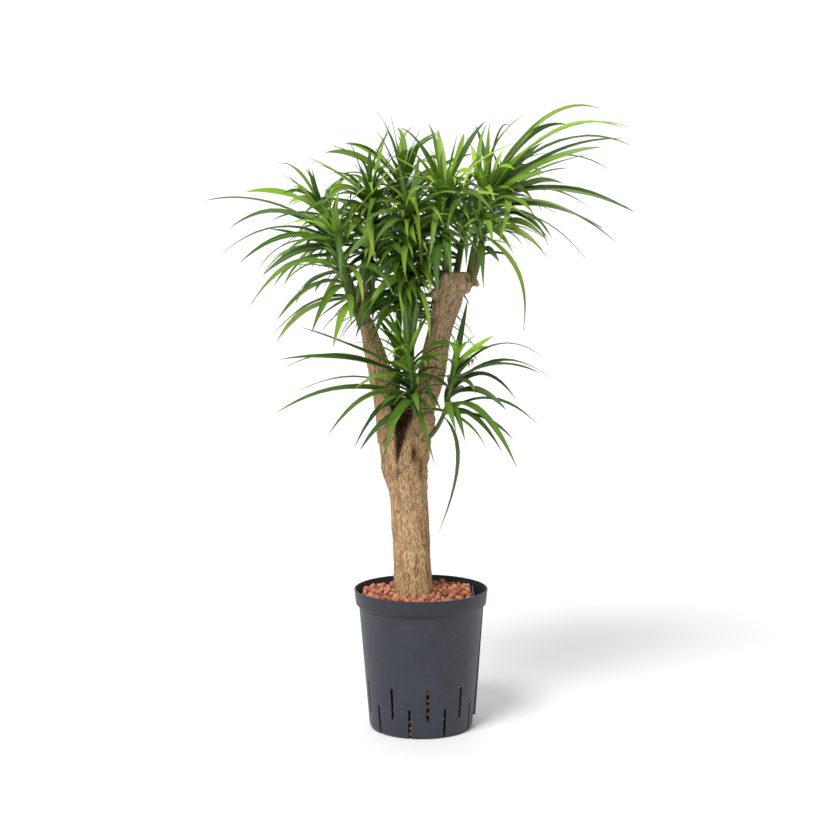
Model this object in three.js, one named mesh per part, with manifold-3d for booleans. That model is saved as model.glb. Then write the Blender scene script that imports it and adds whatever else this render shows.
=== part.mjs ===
// A potted song of india: a slotted culture pot filled with clay granules, a thick trunk that was
// sawn back to two limbs, and the leafy shoots that grew out of it.
// Millimetres, +Z up. The origin is the centre of the pot's underside, and the front is -Y.

import * as THREE from "three";
import { mergeVertices } from "three/addons/utils/BufferGeometryUtils.js";
import Module from "manifold-3d";

const wasm = await Module();
wasm.setup();

// ---------------------------------------------------------------------------------------------
// Driving dimensions
// ---------------------------------------------------------------------------------------------

const SEAT_GAP = 0.35;              // running gap between pieces that rest on or in each other

// Pot: radii and heights of its outer face
const POT_HEIGHT = 190;
const RIM_RADIUS = 90;              // at the mouth
const BAND_RADIUS = 88;             // at the lower edge of the rim band
const BAND_HEIGHT = 171;
const NECK_RADIUS = 83.5;           // where the body meets the band's chamfer
const NECK_HEIGHT = 166;
const HEEL_RADIUS = 70.3;           // top of the rounded bottom corner
const HEEL_HEIGHT = 8.5;
const BASE_RADIUS = 64;             // flat base
const POT_WALL = 1.9;
const POT_FLOOR = 2.4;
const POT_SEGMENTS = 40;

// Drainage slots, alternately one low and one high, all round but for the side of the shaft
const SLOT_COUNT = 17;
const SLOT_FIRST = 117.4;           // degrees to the right of the front, a lower slot
const SLOT_PITCH = 19.2;            // degrees
const SLOT_WIDTH = 3.6;
const UPPER_SLOT = { low: 25, high: 67 };
const LOWER_SLOT = { low: -1, high: 40 };
const SLOT_INNER_RADIUS = 60;

// Water-gauge shaft on the right side of the pot
const SHAFT_WALL_X = 70;            // inner face of the partition
const SHAFT_WALL = 1.6;
const SHAFT_TOP = 184;
const RIB_WIDTH = 14;
const RIB_CHAMFER = 1.5;
const RIB_DEPTH = 3;                // how far the rib stands out at its foot
const RIB_TOP_DEPTH = 0.8;          // and just below the band
const RIB_FOOT = 16;
const TRIM = 0.8;                   // how far inside the outer face the partition ends

// Clay granules
const CLAY_EDGE_HEIGHT = 182.5;
const CLAY_CENTRE_HEIGHT = 186.5;
const CLAY_RELIEF = 2.6;            // half the height of the granules' relief
const CLAY_INNER_RADIUS = 24;       // innermost ring of the relief, under the trunk
const CLAY_RINGS = 8;
const CLAY_SPOKES = 32;
const CLAY_SEED = 5;

// Trunk: every station is [x, y, z, half width, half depth]
const TRUNK_SIDES = 10;
const BOLE = [
  [-9, 0, 44, 17, 17], [-9, 0, 56, 22, 22], [-10, 0, 130, 25.5, 25], [-10, 0, 187, 26.5, 26],
  [-12, 0, 222, 25, 24.5], [-13, 0, 258, 25, 24], [-15, 0, 296, 24.4, 24], [-17, 0, 322, 25, 24],
  [-21, 0, 345, 29, 25], [-22, 0, 375, 33.5, 25.5], [-22, 0, 405, 34.5, 24], [-22, 1, 424, 30, 18],
  [-21, 0, 446, 14, 11],
];
const LEFT_LIMB = [
  [-36, 2, 362, 13, 14], [-40, 3, 392, 17, 19], [-43, 5, 428, 17.5, 19], [-51, 7, 466, 16.4, 17],
  [-59, 9, 499, 15, 15.5], [-72, 11, 542, 11.5, 12], [-84, 12, 573, 10, 10.5], [-91, 12, 596, 9.6, 10],
];
const RIGHT_LIMB = [
  [-12, 0, 362, 15, 16], [-7, -1, 395, 19, 20], [-2, -2, 430, 20, 20.5], [9, -3, 463, 19.4, 19.5],
  [16, -4, 490, 18, 18.5], [21, -5, 522, 16.6, 17.5], [29, -6, 554, 16.6, 17], [36, -6, 580, 19.6, 19],
  [43, -6, 602, 21.6, 20.5], [46, -6, 615, 19.5, 19],
];
// Short stubs where side branches were sawn off: from and to, with their radii
const STUBS = [
  { from: [44, -7, 590], to: [74, -10, 606], radius: [9, 7.5] },
  { from: [30, -10, 574], to: [13, -18, 590], radius: [8, 5.5] },
  { from: [2, -4, 408], to: [11, -29, 424], radius: [12, 8.5] },
  { from: [-84, 12, 572], to: [-72, 20, 600], radius: [7, 6] },
];
// The cleft that runs down the front from the fork: [x, y, z, half width]
const CLEFT = [
  [-32, -28, 364, 1.5], [-30, -27, 384, 3], [-27, -24, 404, 6], [-25, -22, 425, 9], [-24, -20, 448, 10.5],
];
const CLEFT_DEPTH = 12;

// Stems of the shoots
const STEM_SIDES = 5;
const STEM_TAPER = 0.42;            // share of the girth lost from foot to tip
const STEM_PLACES = [0, 0.12, 0.3, 0.5, 0.75, 1];

// Leaves
const LEAF_WIDTH = 8.8;             // of a full-grown leaf, at its widest
const MARKED_WIDTH = 0.82;          // share of the widths listed for marked leaves
const LEAN_RADIUS = 350;            // the smaller, the more the leaves sweep away from the trunk's axis
const LIGHT_TURN = 0.5;             // radians that a sideways leaf turns its face to the front, to the light
const KEEL = 0.13;                  // depth of the blade's keel, as a share of its width
const KEEL_LEAST = 1.1;
const ROOT_SINK = 3;                // depth of a blade's root behind the stem's middle
const LAST_LEAF = 0.98;             // place on the stem of the highest marked leaves

// Width of a blade along its length: [share of length, share of width]. It starts and ends in a point.
const LONG_BLADE = [[0.06, 0.38], [0.3, 0.96], [0.6, 0.9], [0.84, 0.48]];
const BLADE = [[0.07, 0.38], [0.36, 1], [0.72, 0.74]];

// Room for leaves. A leaf with no room is turned about its root, and then tried shorter.
const CELL = 3;                     // size of the space cells that keep leaves clear of each other
const GRID = 1024;                  // cells along each side of the space, whose middle is the origin
const SAMPLE_STEP = 2.5;            // distance between samples along a leaf
const ROOT_CLEAR = 13;              // stretch of a leaf next to its stem that is not tested
const CROWDED = 28;                 // stretch in which leaves of one shoot may touch each other
const SHORTER = [1, 0.8, 0.62];
const TURNS = [0, 8, -8, 16, -16, 25, -25, 36, -36, 50, -50, 66, -66, 84, -84, 104, -104];
const FEW_TURNS = [0, 4, -4, 8, -8, 14, -14, 20, -20, 30, -30];
const GOLDEN_ANGLE = THREE.MathUtils.degToRad(137.508);

// Boxes that only marked leaves may enter, because the limbs and the cleft show there: low and high
// corners, in whole cells.
const CLEARINGS = [
  [[39, -111, 621], [69, 111, 645]], [[15, -111, 534], [63, -24, 618]],
  [[-39, -111, 336], [36, -21, 408]], [[-9, -111, 405], [36, -33, 429]],
  [[75, -159, 519], [300, 201, 627]],
];

// Shoots. foot, bend and tip are the points of the stem's curve, girth its radius at the foot, bare the
// share of it without leaves, leaves the number placed by rule, oldest how far the lowest of them hang.
// marked leaves give the crown its outline: each is [place on the stem, tip x, y, z, lift, width, aside],
// where lift is the height of the leaf's bend above the straight line from root to tip, and aside,
// where given, how far the bend lies to the right of it.
const SHOOTS = [
  {
    name: "shoot_left_front", seed: 11, foot: [-86, 4, 566], bend: [-92, -32, 600], tip: [-112, -30, 668],
    girth: 5, bare: 0.5, leaves: 10, reach: 112, oldest: 0.9,
    marked: [
      [0.97, -101, -105, 592, 62, 11], [0.6, -124, -76, 550, 24, 12], [0.9, -262, -60, 636, 60, 9],
      [0.85, -233, -85, 627, 55, 9], [0.8, -196, -45, 672, 10, 15], [0.8, -204, -62, 612, 36, 14],
      [1, -137, -58, 696, 3, 11], [1, -101, -52, 690, 2, 9], [0.97, -25, -92, 752, 12, 8],
    ],
  },
  {
    name: "shoot_left_outer", seed: 23, foot: [-91, 10, 588], bend: [-104, 6, 640], tip: [-134, 4, 700],
    girth: 5, bare: 0.5, leaves: 9, reach: 112, oldest: 0.85,
    marked: [
      [0.7, -284, -20, 708, 42, 12], [0.95, -228, -40, 719, 25, 14], [0.92, -192, 20, 757, 45, 8],
      [1, -152, -5, 752, 12, 11], [0.97, -183, -22, 743, 14, 11], [0.6, -262, 40, 668, 70, 11],
      [0.95, -185, -40, 717, 30, 8], [1, -146, -45, 751, 6, 13],
    ],
  },
  {
    name: "shoot_left_low", seed: 37, foot: [-78, 0, 548], bend: [-92, -38, 566], tip: [-104, -52, 624],
    girth: 4.5, bare: 0.45, leaves: 8, reach: 98, oldest: 1,
    marked: [
      [0.9, -225, -70, 570, 76, 16], [0.8, -200, -110, 557, 40, 13], [0.62, -191, -60, 536, 30, 12],
      [0.75, -138, -130, 540, 40, 12],
    ],
  },
  {
    name: "shoot_left_back", seed: 41, foot: [-88, 20, 572], bend: [-102, 58, 602], tip: [-122, 74, 668],
    girth: 5, bare: 0.45, leaves: 15, reach: 120, oldest: 0.85,
    marked: [
      [0.6, -70, 60, 552, 50, 12], [0.7, -40, 60, 590, 50, 12], [0.5, -84, 40, 530, 40, 12],
    ],
  },
  {
    name: "shoot_left_inner", seed: 53, foot: [-74, 19, 596], bend: [-64, 14, 640], tip: [-66, -4, 716],
    girth: 5, bare: 0.4, leaves: 24, reach: 130, oldest: 0.8,
    marked: [
      [0.95, -118, -50, 742, 30, 11], [0.9, -96, -10, 790, 20, 10],
      [0.45, -100, -45, 562, 36, 11], [0.42, -62, -55, 548, 36, 12],
    ],
  },
  {
    name: "shoot_middle", seed: 67, foot: [-34, 12, 436], bend: [-30, 44, 540], tip: [-22, 24, 738],
    girth: 5.5, bare: 0.5, leaves: 32, reach: 145, oldest: 0.85,
    marked: [
      [0.95, -122, -15, 771, 42, 14], [0.97, -98, 5, 782, 38, 13], [1, -40, 10, 822, 5, 11],
      [0.98, -62, 30, 806, 15, 9],
      [0.6, -44, -40, 552, 60, 12], [0.55, -18, -30, 536, 50, 11], [0.62, -70, -20, 585, 60, 11],
      [0.5, -64, -30, 522, 44, 12], [0.5, 0, 50, 545, 40, 12], [0.52, -90, 20, 560, 50, 12],
    ],
  },
  {
    name: "shoot_middle_front", seed: 71, foot: [-16, 10, 417], bend: [-10, 40, 540], tip: [-14, -48, 692],
    girth: 5, bare: 0.56, leaves: 32, reach: 135, oldest: 0.8,
    marked: [
      [1, -2, -30, 768, 5, 10], [0.96, 0, -95, 640, 60, 12], [0.94, -50, -85, 655, 50, 11],
      [0.7, -30, -100, 585, 40, 12], [0.6, 10, -60, 560, 40, 11],
    ],
  },
  {
    name: "shoot_top", seed: 83, foot: [32, -2, 606], bend: [34, -18, 650], tip: [32, -28, 718],
    girth: 5.5, bare: 0.4, leaves: 24, reach: 140, oldest: 0.8,
    marked: [
      [0.98, -18, -60, 778, 8, 14], [1, 12, -50, 772, 4, 13], [1, 47, -40, 794, 8, 11],
      [0.9, -30, 0, 804, 45, 16], [0.92, -12, 25, 812, 40, 12], [0.9, 5, -100, 626, 70, 11],
      [0.99, 84, -25, 811, 25, 11], [0.99, 22, 5, 803, 12, 13],
    ],
  },
  {
    name: "shoot_right_top", seed: 97, foot: [62, -2, 598], bend: [68, -8, 650], tip: [86, -12, 722],
    girth: 4.6, bare: 0.5, leaves: 13, reach: 145, oldest: 0.5,
    marked: [
      [1, 274, -30, 801, 78, 17], [0.96, 279, -5, 778, 80, 14], [0.98, 238, 15, 828, 86, 8],
      [0.97, 182, -50, 805, 60, 15], [0.94, 196, 35, 809, 62, 10], [0.9, 272, 30, 790, 50, 9],
      [0.88, 233, -60, 776, 35, 12], [1, 90, 5, 812, 4, 11], [0.95, 117, -30, 800, 75, 8],
      [0.96, 66, 12, 780, 4, 14],
      [0.94, 157, -80, 813, 24, 15], [0.93, 258, -90, 797, 86, 12], [0.93, 270, 60, 750, 75, 8],
    ],
  },
  {
    name: "shoot_right_outer", seed: 101, foot: [56, 10, 588], bend: [80, 24, 652], tip: [104, 26, 722],
    girth: 4.6, bare: 0.6, leaves: 11, reach: 140, oldest: 0.45,
    marked: [
      [0.95, 280, -30, 692, 42, 16], [0.92, 262, 20, 652, 42, 14], [0.85, 236, -55, 672, 30, 16],
      [0.75, 221, -5, 628, 56, 15], [0.7, 178, -15, 658, 45, 10], [0.98, 176, 60, 730, 45, 9],
      [0.98, 270, -75, 697, 30, 13], [0.88, 205, -100, 684, 30, 13], [0.96, 231, 50, 697, 40, 9],
      [0.6, 165, -40, 660, 40, 12], [0.9, 96, -120, 650, 60, 12, 30],
      [0.9, 250, 50, 668, 32, 14],
    ],
  },
  {
    name: "shoot_right_front", seed: 113, foot: [66, -12, 600], bend: [80, -36, 630], tip: [76, -62, 676],
    girth: 4, bare: 0.42, leaves: 8, reach: 105, oldest: 0.45,
    marked: [
      [0.9, 129, -95, 538, 27, 9, 43], [0.75, 79, -110, 596, 40, 12], [0.95, 94, -110, 652, 45, 12],
      [0.55, 116, -60, 637, 8, 8],
    ],
  },
  {
    name: "shoot_right_back", seed: 127, foot: [44, 10, 600], bend: [50, 46, 620], tip: [62, 72, 690],
    girth: 5.5, bare: 0.42, leaves: 18, reach: 135, oldest: 0.45,
    marked: [
      [0.5, -4, 70, 585, 50, 12], [0.4, 10, 40, 552, 40, 12], [0.6, -22, 90, 610, 50, 12],
    ],
  },
  {
    name: "shoot_low_front", seed: 131, foot: [-6, -12, 424], bend: [-6, -44, 434], tip: [-16, -46, 506],
    girth: 5, bare: 0.26, leaves: 24, reach: 108, oldest: 0.52,
    marked: [
      [0.8, -186, -60, 503, 30, 12], [0.85, -158, -75, 548, 8, 17], [0.7, -182, -30, 489, 60, 9],
      [0.6, -165, -80, 461, 45, 8], [0.5, -191, -55, 432, 52, 13], [0.5, -122, -90, 405, 62, 13],
      [0.42, -88, -60, 386, 60, 9], [0.35, -52, -115, 364, 60, 12], [0.4, 19, -100, 366, 42, 10, -10],
      [0.95, 46, -90, 525, 25, 11], [1, -30, -60, 600, 6, 12], [0.98, -4, -80, 585, 10, 10],
      [1, -65, -45, 553, 5, 12], [0.98, -49, -70, 577, 5, 12], [1, -21, -90, 579, 4, 11],
      [0.98, 4, -50, 563, 6, 12],
    ],
  },
  {
    name: "shoot_low_right", seed: 149, foot: [4, -10, 392], bend: [34, -22, 408], tip: [46, -32, 500],
    girth: 3.6, bare: 0.48, leaves: 9, reach: 105, oldest: 0.7,
    marked: [
      [0.9, 161, -50, 504, 62, 10], [0.8, 178, -20, 470, 66, 10], [0.85, 156, -60, 485, 36, 12],
      [0.75, 128, 10, 443, 62, 10], [0.7, 111, -70, 438, 38, 13], [0.5, 156, -25, 413, 60, 8],
      [0.6, 125, -75, 363, 66, 14], [0.55, 107, -50, 380, 44, 9], [0.65, 57, -90, 400, 28, 11],
      [0.5, 19, -75, 270, 41, 6, 49], [0.7, 62, -10, 581, 4, 11], [0.97, 95, -45, 534, 6, 13],
    ],
  },
];

// Colours
const POT_COLOUR = 0x47505a;
const CLAY_COLOUR = 0xb57a5f;
const WOOD_COLOUR = 0xb3946c;
const LEAF_COLOUR = 0x3f7a26;

// ---------------------------------------------------------------------------------------------
// Solids
// ---------------------------------------------------------------------------------------------

const UP = new THREE.Vector3(0, 0, 1);

/** A closed geometry as a solid that can be joined and cut. */
function solidOf(geometry) {
  geometry.deleteAttribute("normal");
  geometry.deleteAttribute("uv");
  const merged = mergeVertices(geometry);
  return new wasm.Manifold(new wasm.Mesh({
    numProp: 3,
    vertProperties: new Float32Array(merged.attributes.position.array),
    triVerts: new Uint32Array(merged.index.array),
  }));
}

/**
 * Closed loft through rings of points that run anticlockwise as seen from the last ring.
 * The first and the last ring may each be a single point.
 */
function loft(rings) {
  const sides = Math.max(...rings.map((ring) => ring.length));
  const indices = [];
  const cap = (start, flip) => {
    for (let i = 1; i + 1 < sides; i++) {
      indices.push(start, start + i + (flip ? 1 : 0), start + i + (flip ? 0 : 1));
    }
  };
  let near = 0;
  for (let i = 0; i + 1 < rings.length; i++) {
    const far = near + rings[i].length;
    const fromPoint = rings[i].length === 1;
    const toPoint = rings[i + 1].length === 1;
    for (let side = 0; side < sides; side++) {
      const turn = (side + 1) % sides;
      if (!fromPoint) {
        indices.push(near + side, near + turn, toPoint ? far : far + side);
      }
      if (!toPoint) {
        indices.push(fromPoint ? near : near + turn, far + turn, far + side);
      }
    }
    near = far;
  }
  if (rings[0].length > 1) {
    cap(0, true);
  }
  if (rings.at(-1).length > 1) {
    cap(near, false);
  }
  const geometry = new THREE.BufferGeometry().setFromPoints(rings.flat());
  geometry.setIndex(indices);
  return solidOf(geometry);
}

/** Solid of revolution about Z from [radius, height] points that close on the axis or on themselves. */
function turned(profile, segments) {
  const points = profile.map(([radius, height]) => new THREE.Vector2(radius, height));
  return solidOf(new THREE.LatheGeometry(points, segments).rotateX(Math.PI / 2));
}

/** Box between two corners, turned about Z. */
function block(low, high, degrees = 0) {
  const size = high.map((value, axis) => value - low[axis]);
  const middle = high.map((value, axis) => (value + low[axis]) / 2);
  const box = new THREE.BoxGeometry(...size).translate(...middle);
  return solidOf(box.rotateZ(THREE.MathUtils.degToRad(degrees)));
}

/** A named mesh of the finished solid. */
function piece(name, solid, colour, roughness) {
  const { vertProperties, triVerts } = solid.getMesh();
  const geometry = new THREE.BufferGeometry();
  geometry.setAttribute("position", new THREE.BufferAttribute(vertProperties, 3));
  geometry.setIndex(new THREE.BufferAttribute(triVerts, 1));
  geometry.computeVertexNormals();
  const material = new THREE.MeshStandardMaterial({ color: colour, roughness, metalness: 0 });
  const mesh = new THREE.Mesh(geometry, material);
  mesh.name = name;
  return mesh;
}

/** Seeded draws between two values. */
function draws(seed) {
  let state = seed;
  const draw = (low, high) => {
    state = (state * 48271) % 2147483647;
    return low + (high - low) * (state / 2147483647);
  };
  draw(0, 1);
  draw(0, 1);
  return draw;
}

// ---------------------------------------------------------------------------------------------
// Pot
// ---------------------------------------------------------------------------------------------

/** Outer radius of the pot's body at a height between heel and neck. */
function bodyRadius(height) {
  const share = (height - HEEL_HEIGHT) / (NECK_HEIGHT - HEEL_HEIGHT);
  return HEEL_RADIUS + share * (NECK_RADIUS - HEEL_RADIUS);
}

function makePot() {
  const heel = [BASE_RADIUS + 4.2, 2.2];
  const shell = turned([
    [0, 0], [BASE_RADIUS, 0], heel, [HEEL_RADIUS, HEEL_HEIGHT], [NECK_RADIUS, NECK_HEIGHT],
    [BAND_RADIUS, BAND_HEIGHT], [RIM_RADIUS, POT_HEIGHT], [RIM_RADIUS - POT_WALL - 0.4, POT_HEIGHT],
    [BAND_RADIUS - POT_WALL, BAND_HEIGHT + 1], [NECK_RADIUS - POT_WALL, NECK_HEIGHT + 1],
    [HEEL_RADIUS - POT_WALL, HEEL_HEIGHT + 0.6], [BASE_RADIUS - 0.6, POT_FLOOR], [0, POT_FLOOR],
  ], POT_SEGMENTS);

  // The shaft's partition and outer rib are trimmed to the pot's own cone.
  const within = turned([
    [0, 1], [BASE_RADIUS, 1], [HEEL_RADIUS - TRIM, HEEL_HEIGHT], [NECK_RADIUS - TRIM, NECK_HEIGHT],
    [BAND_RADIUS - TRIM, BAND_HEIGHT], [BAND_RADIUS, POT_HEIGHT], [0, POT_HEIGHT],
  ], POT_SEGMENTS);
  const partition = block(
    [SHAFT_WALL_X, -RIM_RADIUS, POT_FLOOR / 2], [SHAFT_WALL_X + SHAFT_WALL, RIM_RADIUS, SHAFT_TOP],
  ).intersect(within);
  const ribRing = (height, depth) => {
    const inside = bodyRadius(height) - POT_WALL / 2;
    const outside = bodyRadius(height) + depth;
    const half = RIB_WIDTH / 2;
    const corners = [
      [inside, -half], [outside, -half + RIB_CHAMFER], [outside, half - RIB_CHAMFER], [inside, half],
    ];
    return corners.map(([x, y]) => new THREE.Vector3(x, y, height));
  };
  const rib = loft([ribRing(RIB_FOOT, RIB_DEPTH), ribRing(NECK_HEIGHT - 1, RIB_TOP_DEPTH)]);

  let pot = shell.add(partition).add(rib);
  for (let i = 0; i < SLOT_COUNT; i++) {
    const { low, high } = i % 2 === 0 ? LOWER_SLOT : UPPER_SLOT;
    const half = SLOT_WIDTH / 2;
    const degrees = SLOT_FIRST + i * SLOT_PITCH;
    const slot = block([-half, -RIM_RADIUS, low], [half, -SLOT_INNER_RADIUS, high], degrees);
    pot = pot.subtract(slot);
  }
  return pot;
}

// ---------------------------------------------------------------------------------------------
// Trunk
// ---------------------------------------------------------------------------------------------

/** A limb through stations [x, y, z, half width, half depth], slightly fluted like bark. */
function limb(stations, grow = 0) {
  const rings = stations.map(([x, y, z, halfWidth, halfDepth], index) => {
    const ring = [];
    for (let side = 0; side < TRUNK_SIDES; side++) {
      const angle = (side / TRUNK_SIDES) * 2 * Math.PI;
      const flute = 1 + 0.035 * Math.cos(3 * angle + index) + 0.025 * Math.cos(5 * angle - 2 * index);
      ring.push(new THREE.Vector3(
        x + (halfWidth * flute + grow) * Math.cos(angle),
        y + (halfDepth * flute + grow) * Math.sin(angle),
        z,
      ));
    }
    return ring;
  });
  return loft(rings);
}

/** Round rod through points with a radius at each, its rings square to its run. */
function rod(points, radii, sides) {
  const across = new THREE.Vector3(1, 0, 0.2);
  const rings = points.map((point, index) => {
    const before = points[Math.max(index - 1, 0)];
    const after = points[Math.min(index + 1, points.length - 1)];
    const run = after.clone().sub(before).normalize();
    across.projectOnPlane(run).normalize();
    const around = run.clone().cross(across);
    const ring = [];
    for (let side = 0; side < sides; side++) {
      const angle = (side / sides) * 2 * Math.PI;
      ring.push(point.clone()
        .addScaledVector(across, radii[index] * Math.cos(angle))
        .addScaledVector(around, radii[index] * Math.sin(angle)));
    }
    return ring;
  });
  return loft(rings);
}

/** The cleft below the fork, a wedge that opens upwards and to the front. */
function makeCleft() {
  const rings = CLEFT.map(([x, y, z, half]) => [
    new THREE.Vector3(x, y + CLEFT_DEPTH, z),
    new THREE.Vector3(x - half, y - CLEFT_DEPTH, z),
    new THREE.Vector3(x + half, y - CLEFT_DEPTH, z),
  ]);
  return loft(rings);
}

function makeTrunk(stems) {
  let trunk = limb(BOLE).add(limb(LEFT_LIMB)).add(limb(RIGHT_LIMB));
  for (const { from, to, radius } of STUBS) {
    const ends = [new THREE.Vector3(...from), new THREE.Vector3(...to)];
    trunk = trunk.add(rod(ends, radius, 8));
  }
  trunk = trunk.subtract(makeCleft());
  for (const stem of stems) {
    trunk = trunk.subtract(stemSolid(stem, SEAT_GAP));
  }
  return trunk;
}

// ---------------------------------------------------------------------------------------------
// Clay granules
// ---------------------------------------------------------------------------------------------

/** The fill, with a relief of granules on top, the trunk's hole and the shaft left open. */
function makeClay() {
  const inner = (radius) => radius - POT_WALL - SEAT_GAP;
  const draw = draws(CLAY_SEED);
  const wall = [
    [inner(BASE_RADIUS) - 0.4, POT_FLOOR + SEAT_GAP], [inner(HEEL_RADIUS), HEEL_HEIGHT + 1.2],
    [inner(NECK_RADIUS), NECK_HEIGHT + 1], [inner(BAND_RADIUS) - 0.4, BAND_HEIGHT + 2],
  ];
  const ringAt = (radius, height, relief) => {
    const ring = [];
    for (let spoke = 0; spoke < CLAY_SPOKES; spoke++) {
      const angle = (spoke / CLAY_SPOKES) * 2 * Math.PI;
      const drawn = height + draw(-relief, relief);
      ring.push(new THREE.Vector3(radius * Math.cos(angle), radius * Math.sin(angle), drawn));
    }
    return ring;
  };
  const rings = wall.map(([radius, height]) => ringAt(radius, height, 0));
  const edge = inner(BAND_RADIUS) - 0.6;
  for (let i = 0; i < CLAY_RINGS; i++) {
    const share = i / (CLAY_RINGS - 1);
    const radius = edge + share * (CLAY_INNER_RADIUS - edge);
    const height = CLAY_EDGE_HEIGHT + share * (CLAY_CENTRE_HEIGHT - CLAY_EDGE_HEIGHT);
    rings.push(ringAt(radius, height, CLAY_RELIEF));
  }
  rings.push([new THREE.Vector3(0, 0, CLAY_CENTRE_HEIGHT)]);

  const [[x, y, z, ...halves], ...above] = BOLE;
  const hole = limb([[x, y, z - SEAT_GAP, ...halves], ...above], SEAT_GAP);
  const shaft = block(
    [SHAFT_WALL_X - SEAT_GAP, -RIM_RADIUS, 0], [RIM_RADIUS, RIM_RADIUS, POT_HEIGHT],
  );
  return loft(rings).subtract(hole).subtract(shaft);
}

// ---------------------------------------------------------------------------------------------
// Shoots: stems and leaves
// ---------------------------------------------------------------------------------------------

function stemOf({ foot, bend, tip, girth }) {
  const curve = new THREE.QuadraticBezierCurve3(
    new THREE.Vector3(...foot), new THREE.Vector3(...bend), new THREE.Vector3(...tip),
  );
  return { curve, girth };
}

/** Radius of a stem, which tapers to just over half its girth. */
function stemRadius(stem, place) {
  return stem.girth * (1 - STEM_TAPER * place);
}

/** A stem as a solid, or grown by a gap on every side to cut its socket. */
function stemSolid(stem, grow = 0) {
  const points = STEM_PLACES.map((place) => stem.curve.getPoint(place));
  points[0].addScaledVector(stem.curve.getTangent(0), -grow);
  return rod(points, STEM_PLACES.map((place) => stemRadius(stem, place) + grow), STEM_SIDES);
}

/** A leaf is the curve of its midrib, with the sideways direction of its blade and its width. */
function leafOf(root, bend, tip, width, roll, blade) {
  const midrib = new THREE.QuadraticBezierCurve3(root, bend, tip);
  const heading = Math.atan2(tip.y - root.y, tip.x - root.x);
  return { midrib, heading, width, roll: roll + LIGHT_TURN * Math.cos(heading), blade };
}

/** Point, sideways direction and face direction of a blade at a place along it. */
function bladeFrame(leaf, place) {
  const run = leaf.midrib.getTangent(place);
  const level = new THREE.Vector3(-Math.sin(leaf.heading), Math.cos(leaf.heading), 0);
  const side = level.clone().applyAxisAngle(run, leaf.roll);
  return { point: leaf.midrib.getPoint(place), side, face: run.cross(side) };
}

/** Share of a blade's full width at a place along it. */
function bladeShare(blade, place) {
  const stations = [[0, 0.3], ...blade, [1, 0]];
  const next = stations.findIndex(([station]) => station > place);
  if (next < 1) {
    return 0;
  }
  const [low, lowShare] = stations[next - 1];
  const [high, highShare] = stations[next];
  return lowShare + (highShare - lowShare) * (place - low) / (high - low);
}

/** Blade as a closed solid: flat on top, with a keel below. */
function bladeSolid(leaf) {
  const rings = leaf.blade.map(([place, share]) => {
    const { point, side, face } = bladeFrame(leaf, place);
    const half = leaf.width * share / 2;
    const keel = Math.max(leaf.width * share * KEEL, KEEL_LEAST);
    return [
      point.clone().addScaledVector(side, half),
      point.clone().addScaledVector(side, -half),
      point.clone().addScaledVector(face, -keel),
    ];
  });
  const root = leaf.midrib.getPoint(0).addScaledVector(leaf.midrib.getTangent(0), -ROOT_SINK);
  return loft([[root], ...rings, [leaf.midrib.getPoint(1)]]);
}

/**
 * Space around the plant in small cells. nearCells holds, for each cell, which shoots have a leaf
 * or stem in it or next to it, and bladeCells those that have a blade in the cell itself.
 * Each shoot is one bit of the number that a cell holds. The trunk and the clearings have the next two.
 */
const nearCells = new Map();
const bladeCells = new Map();
const TRUNK_OWNER = SHOOTS.length;
const CLEARING_OWNER = SHOOTS.length + 1;

/** Key of the cell that lies some cells away from a point's own. */
function cellOf(point, steps = [0, 0, 0]) {
  const [x, y, z] = point.toArray()
    .map((value, axis) => Math.floor(value / CELL) + GRID / 2 + steps[axis]);
  return (x * GRID + y) * GRID + z;
}

function mark(cells, key, owner) {
  cells.set(key, (cells.get(key) ?? 0) | (1 << owner));
}

function markAround(points, owner) {
  const steps = [-1, 0, 1];
  for (const point of points) {
    for (const x of steps) {
      for (const y of steps) {
        for (const z of steps) {
          mark(nearCells, cellOf(point, [x, y, z]), owner);
        }
      }
    }
  }
}

/** One point for each cell that a blade's face passes through, from a distance along it to its tip. */
function bladePoints(leaf, from) {
  const points = new Map();
  const { v0, v1, v2 } = leaf.midrib;
  const length = v0.distanceTo(v1) + v1.distanceTo(v2);
  const steps = Math.ceil(length / SAMPLE_STEP);
  for (let step = Math.ceil(from / SAMPLE_STEP); step <= steps; step++) {
    const { point, side } = bladeFrame(leaf, step / steps);
    const half = leaf.width * bladeShare(leaf.blade, step / steps) / 2;
    for (const across of [-1, -0.6, -0.2, 0.2, 0.6, 1]) {
      const sample = point.clone().addScaledVector(side, across * half);
      points.set(cellOf(sample), sample);
    }
  }
  return points;
}

/** Points that fill a round piece through given centres, one for each cell. */
function roundPoints(centres, radii) {
  const points = new Map();
  for (let i = 0; i + 1 < centres.length; i++) {
    const steps = Math.ceil(centres[i].distanceTo(centres[i + 1]) / CELL);
    for (let step = 0; step <= steps; step++) {
      const centre = centres[i].clone().lerp(centres[i + 1], step / steps);
      const radius = radii[i] + (radii[i + 1] - radii[i]) * step / steps;
      for (let x = -radius; x <= radius; x += CELL) {
        for (let y = -radius; y <= radius; y += CELL) {
          const sample = centre.clone().add(new THREE.Vector3(x, y, 0));
          if (Math.hypot(x, y) <= radius) {
            points.set(cellOf(sample), sample);
          }
        }
      }
    }
  }
  return points;
}

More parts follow.
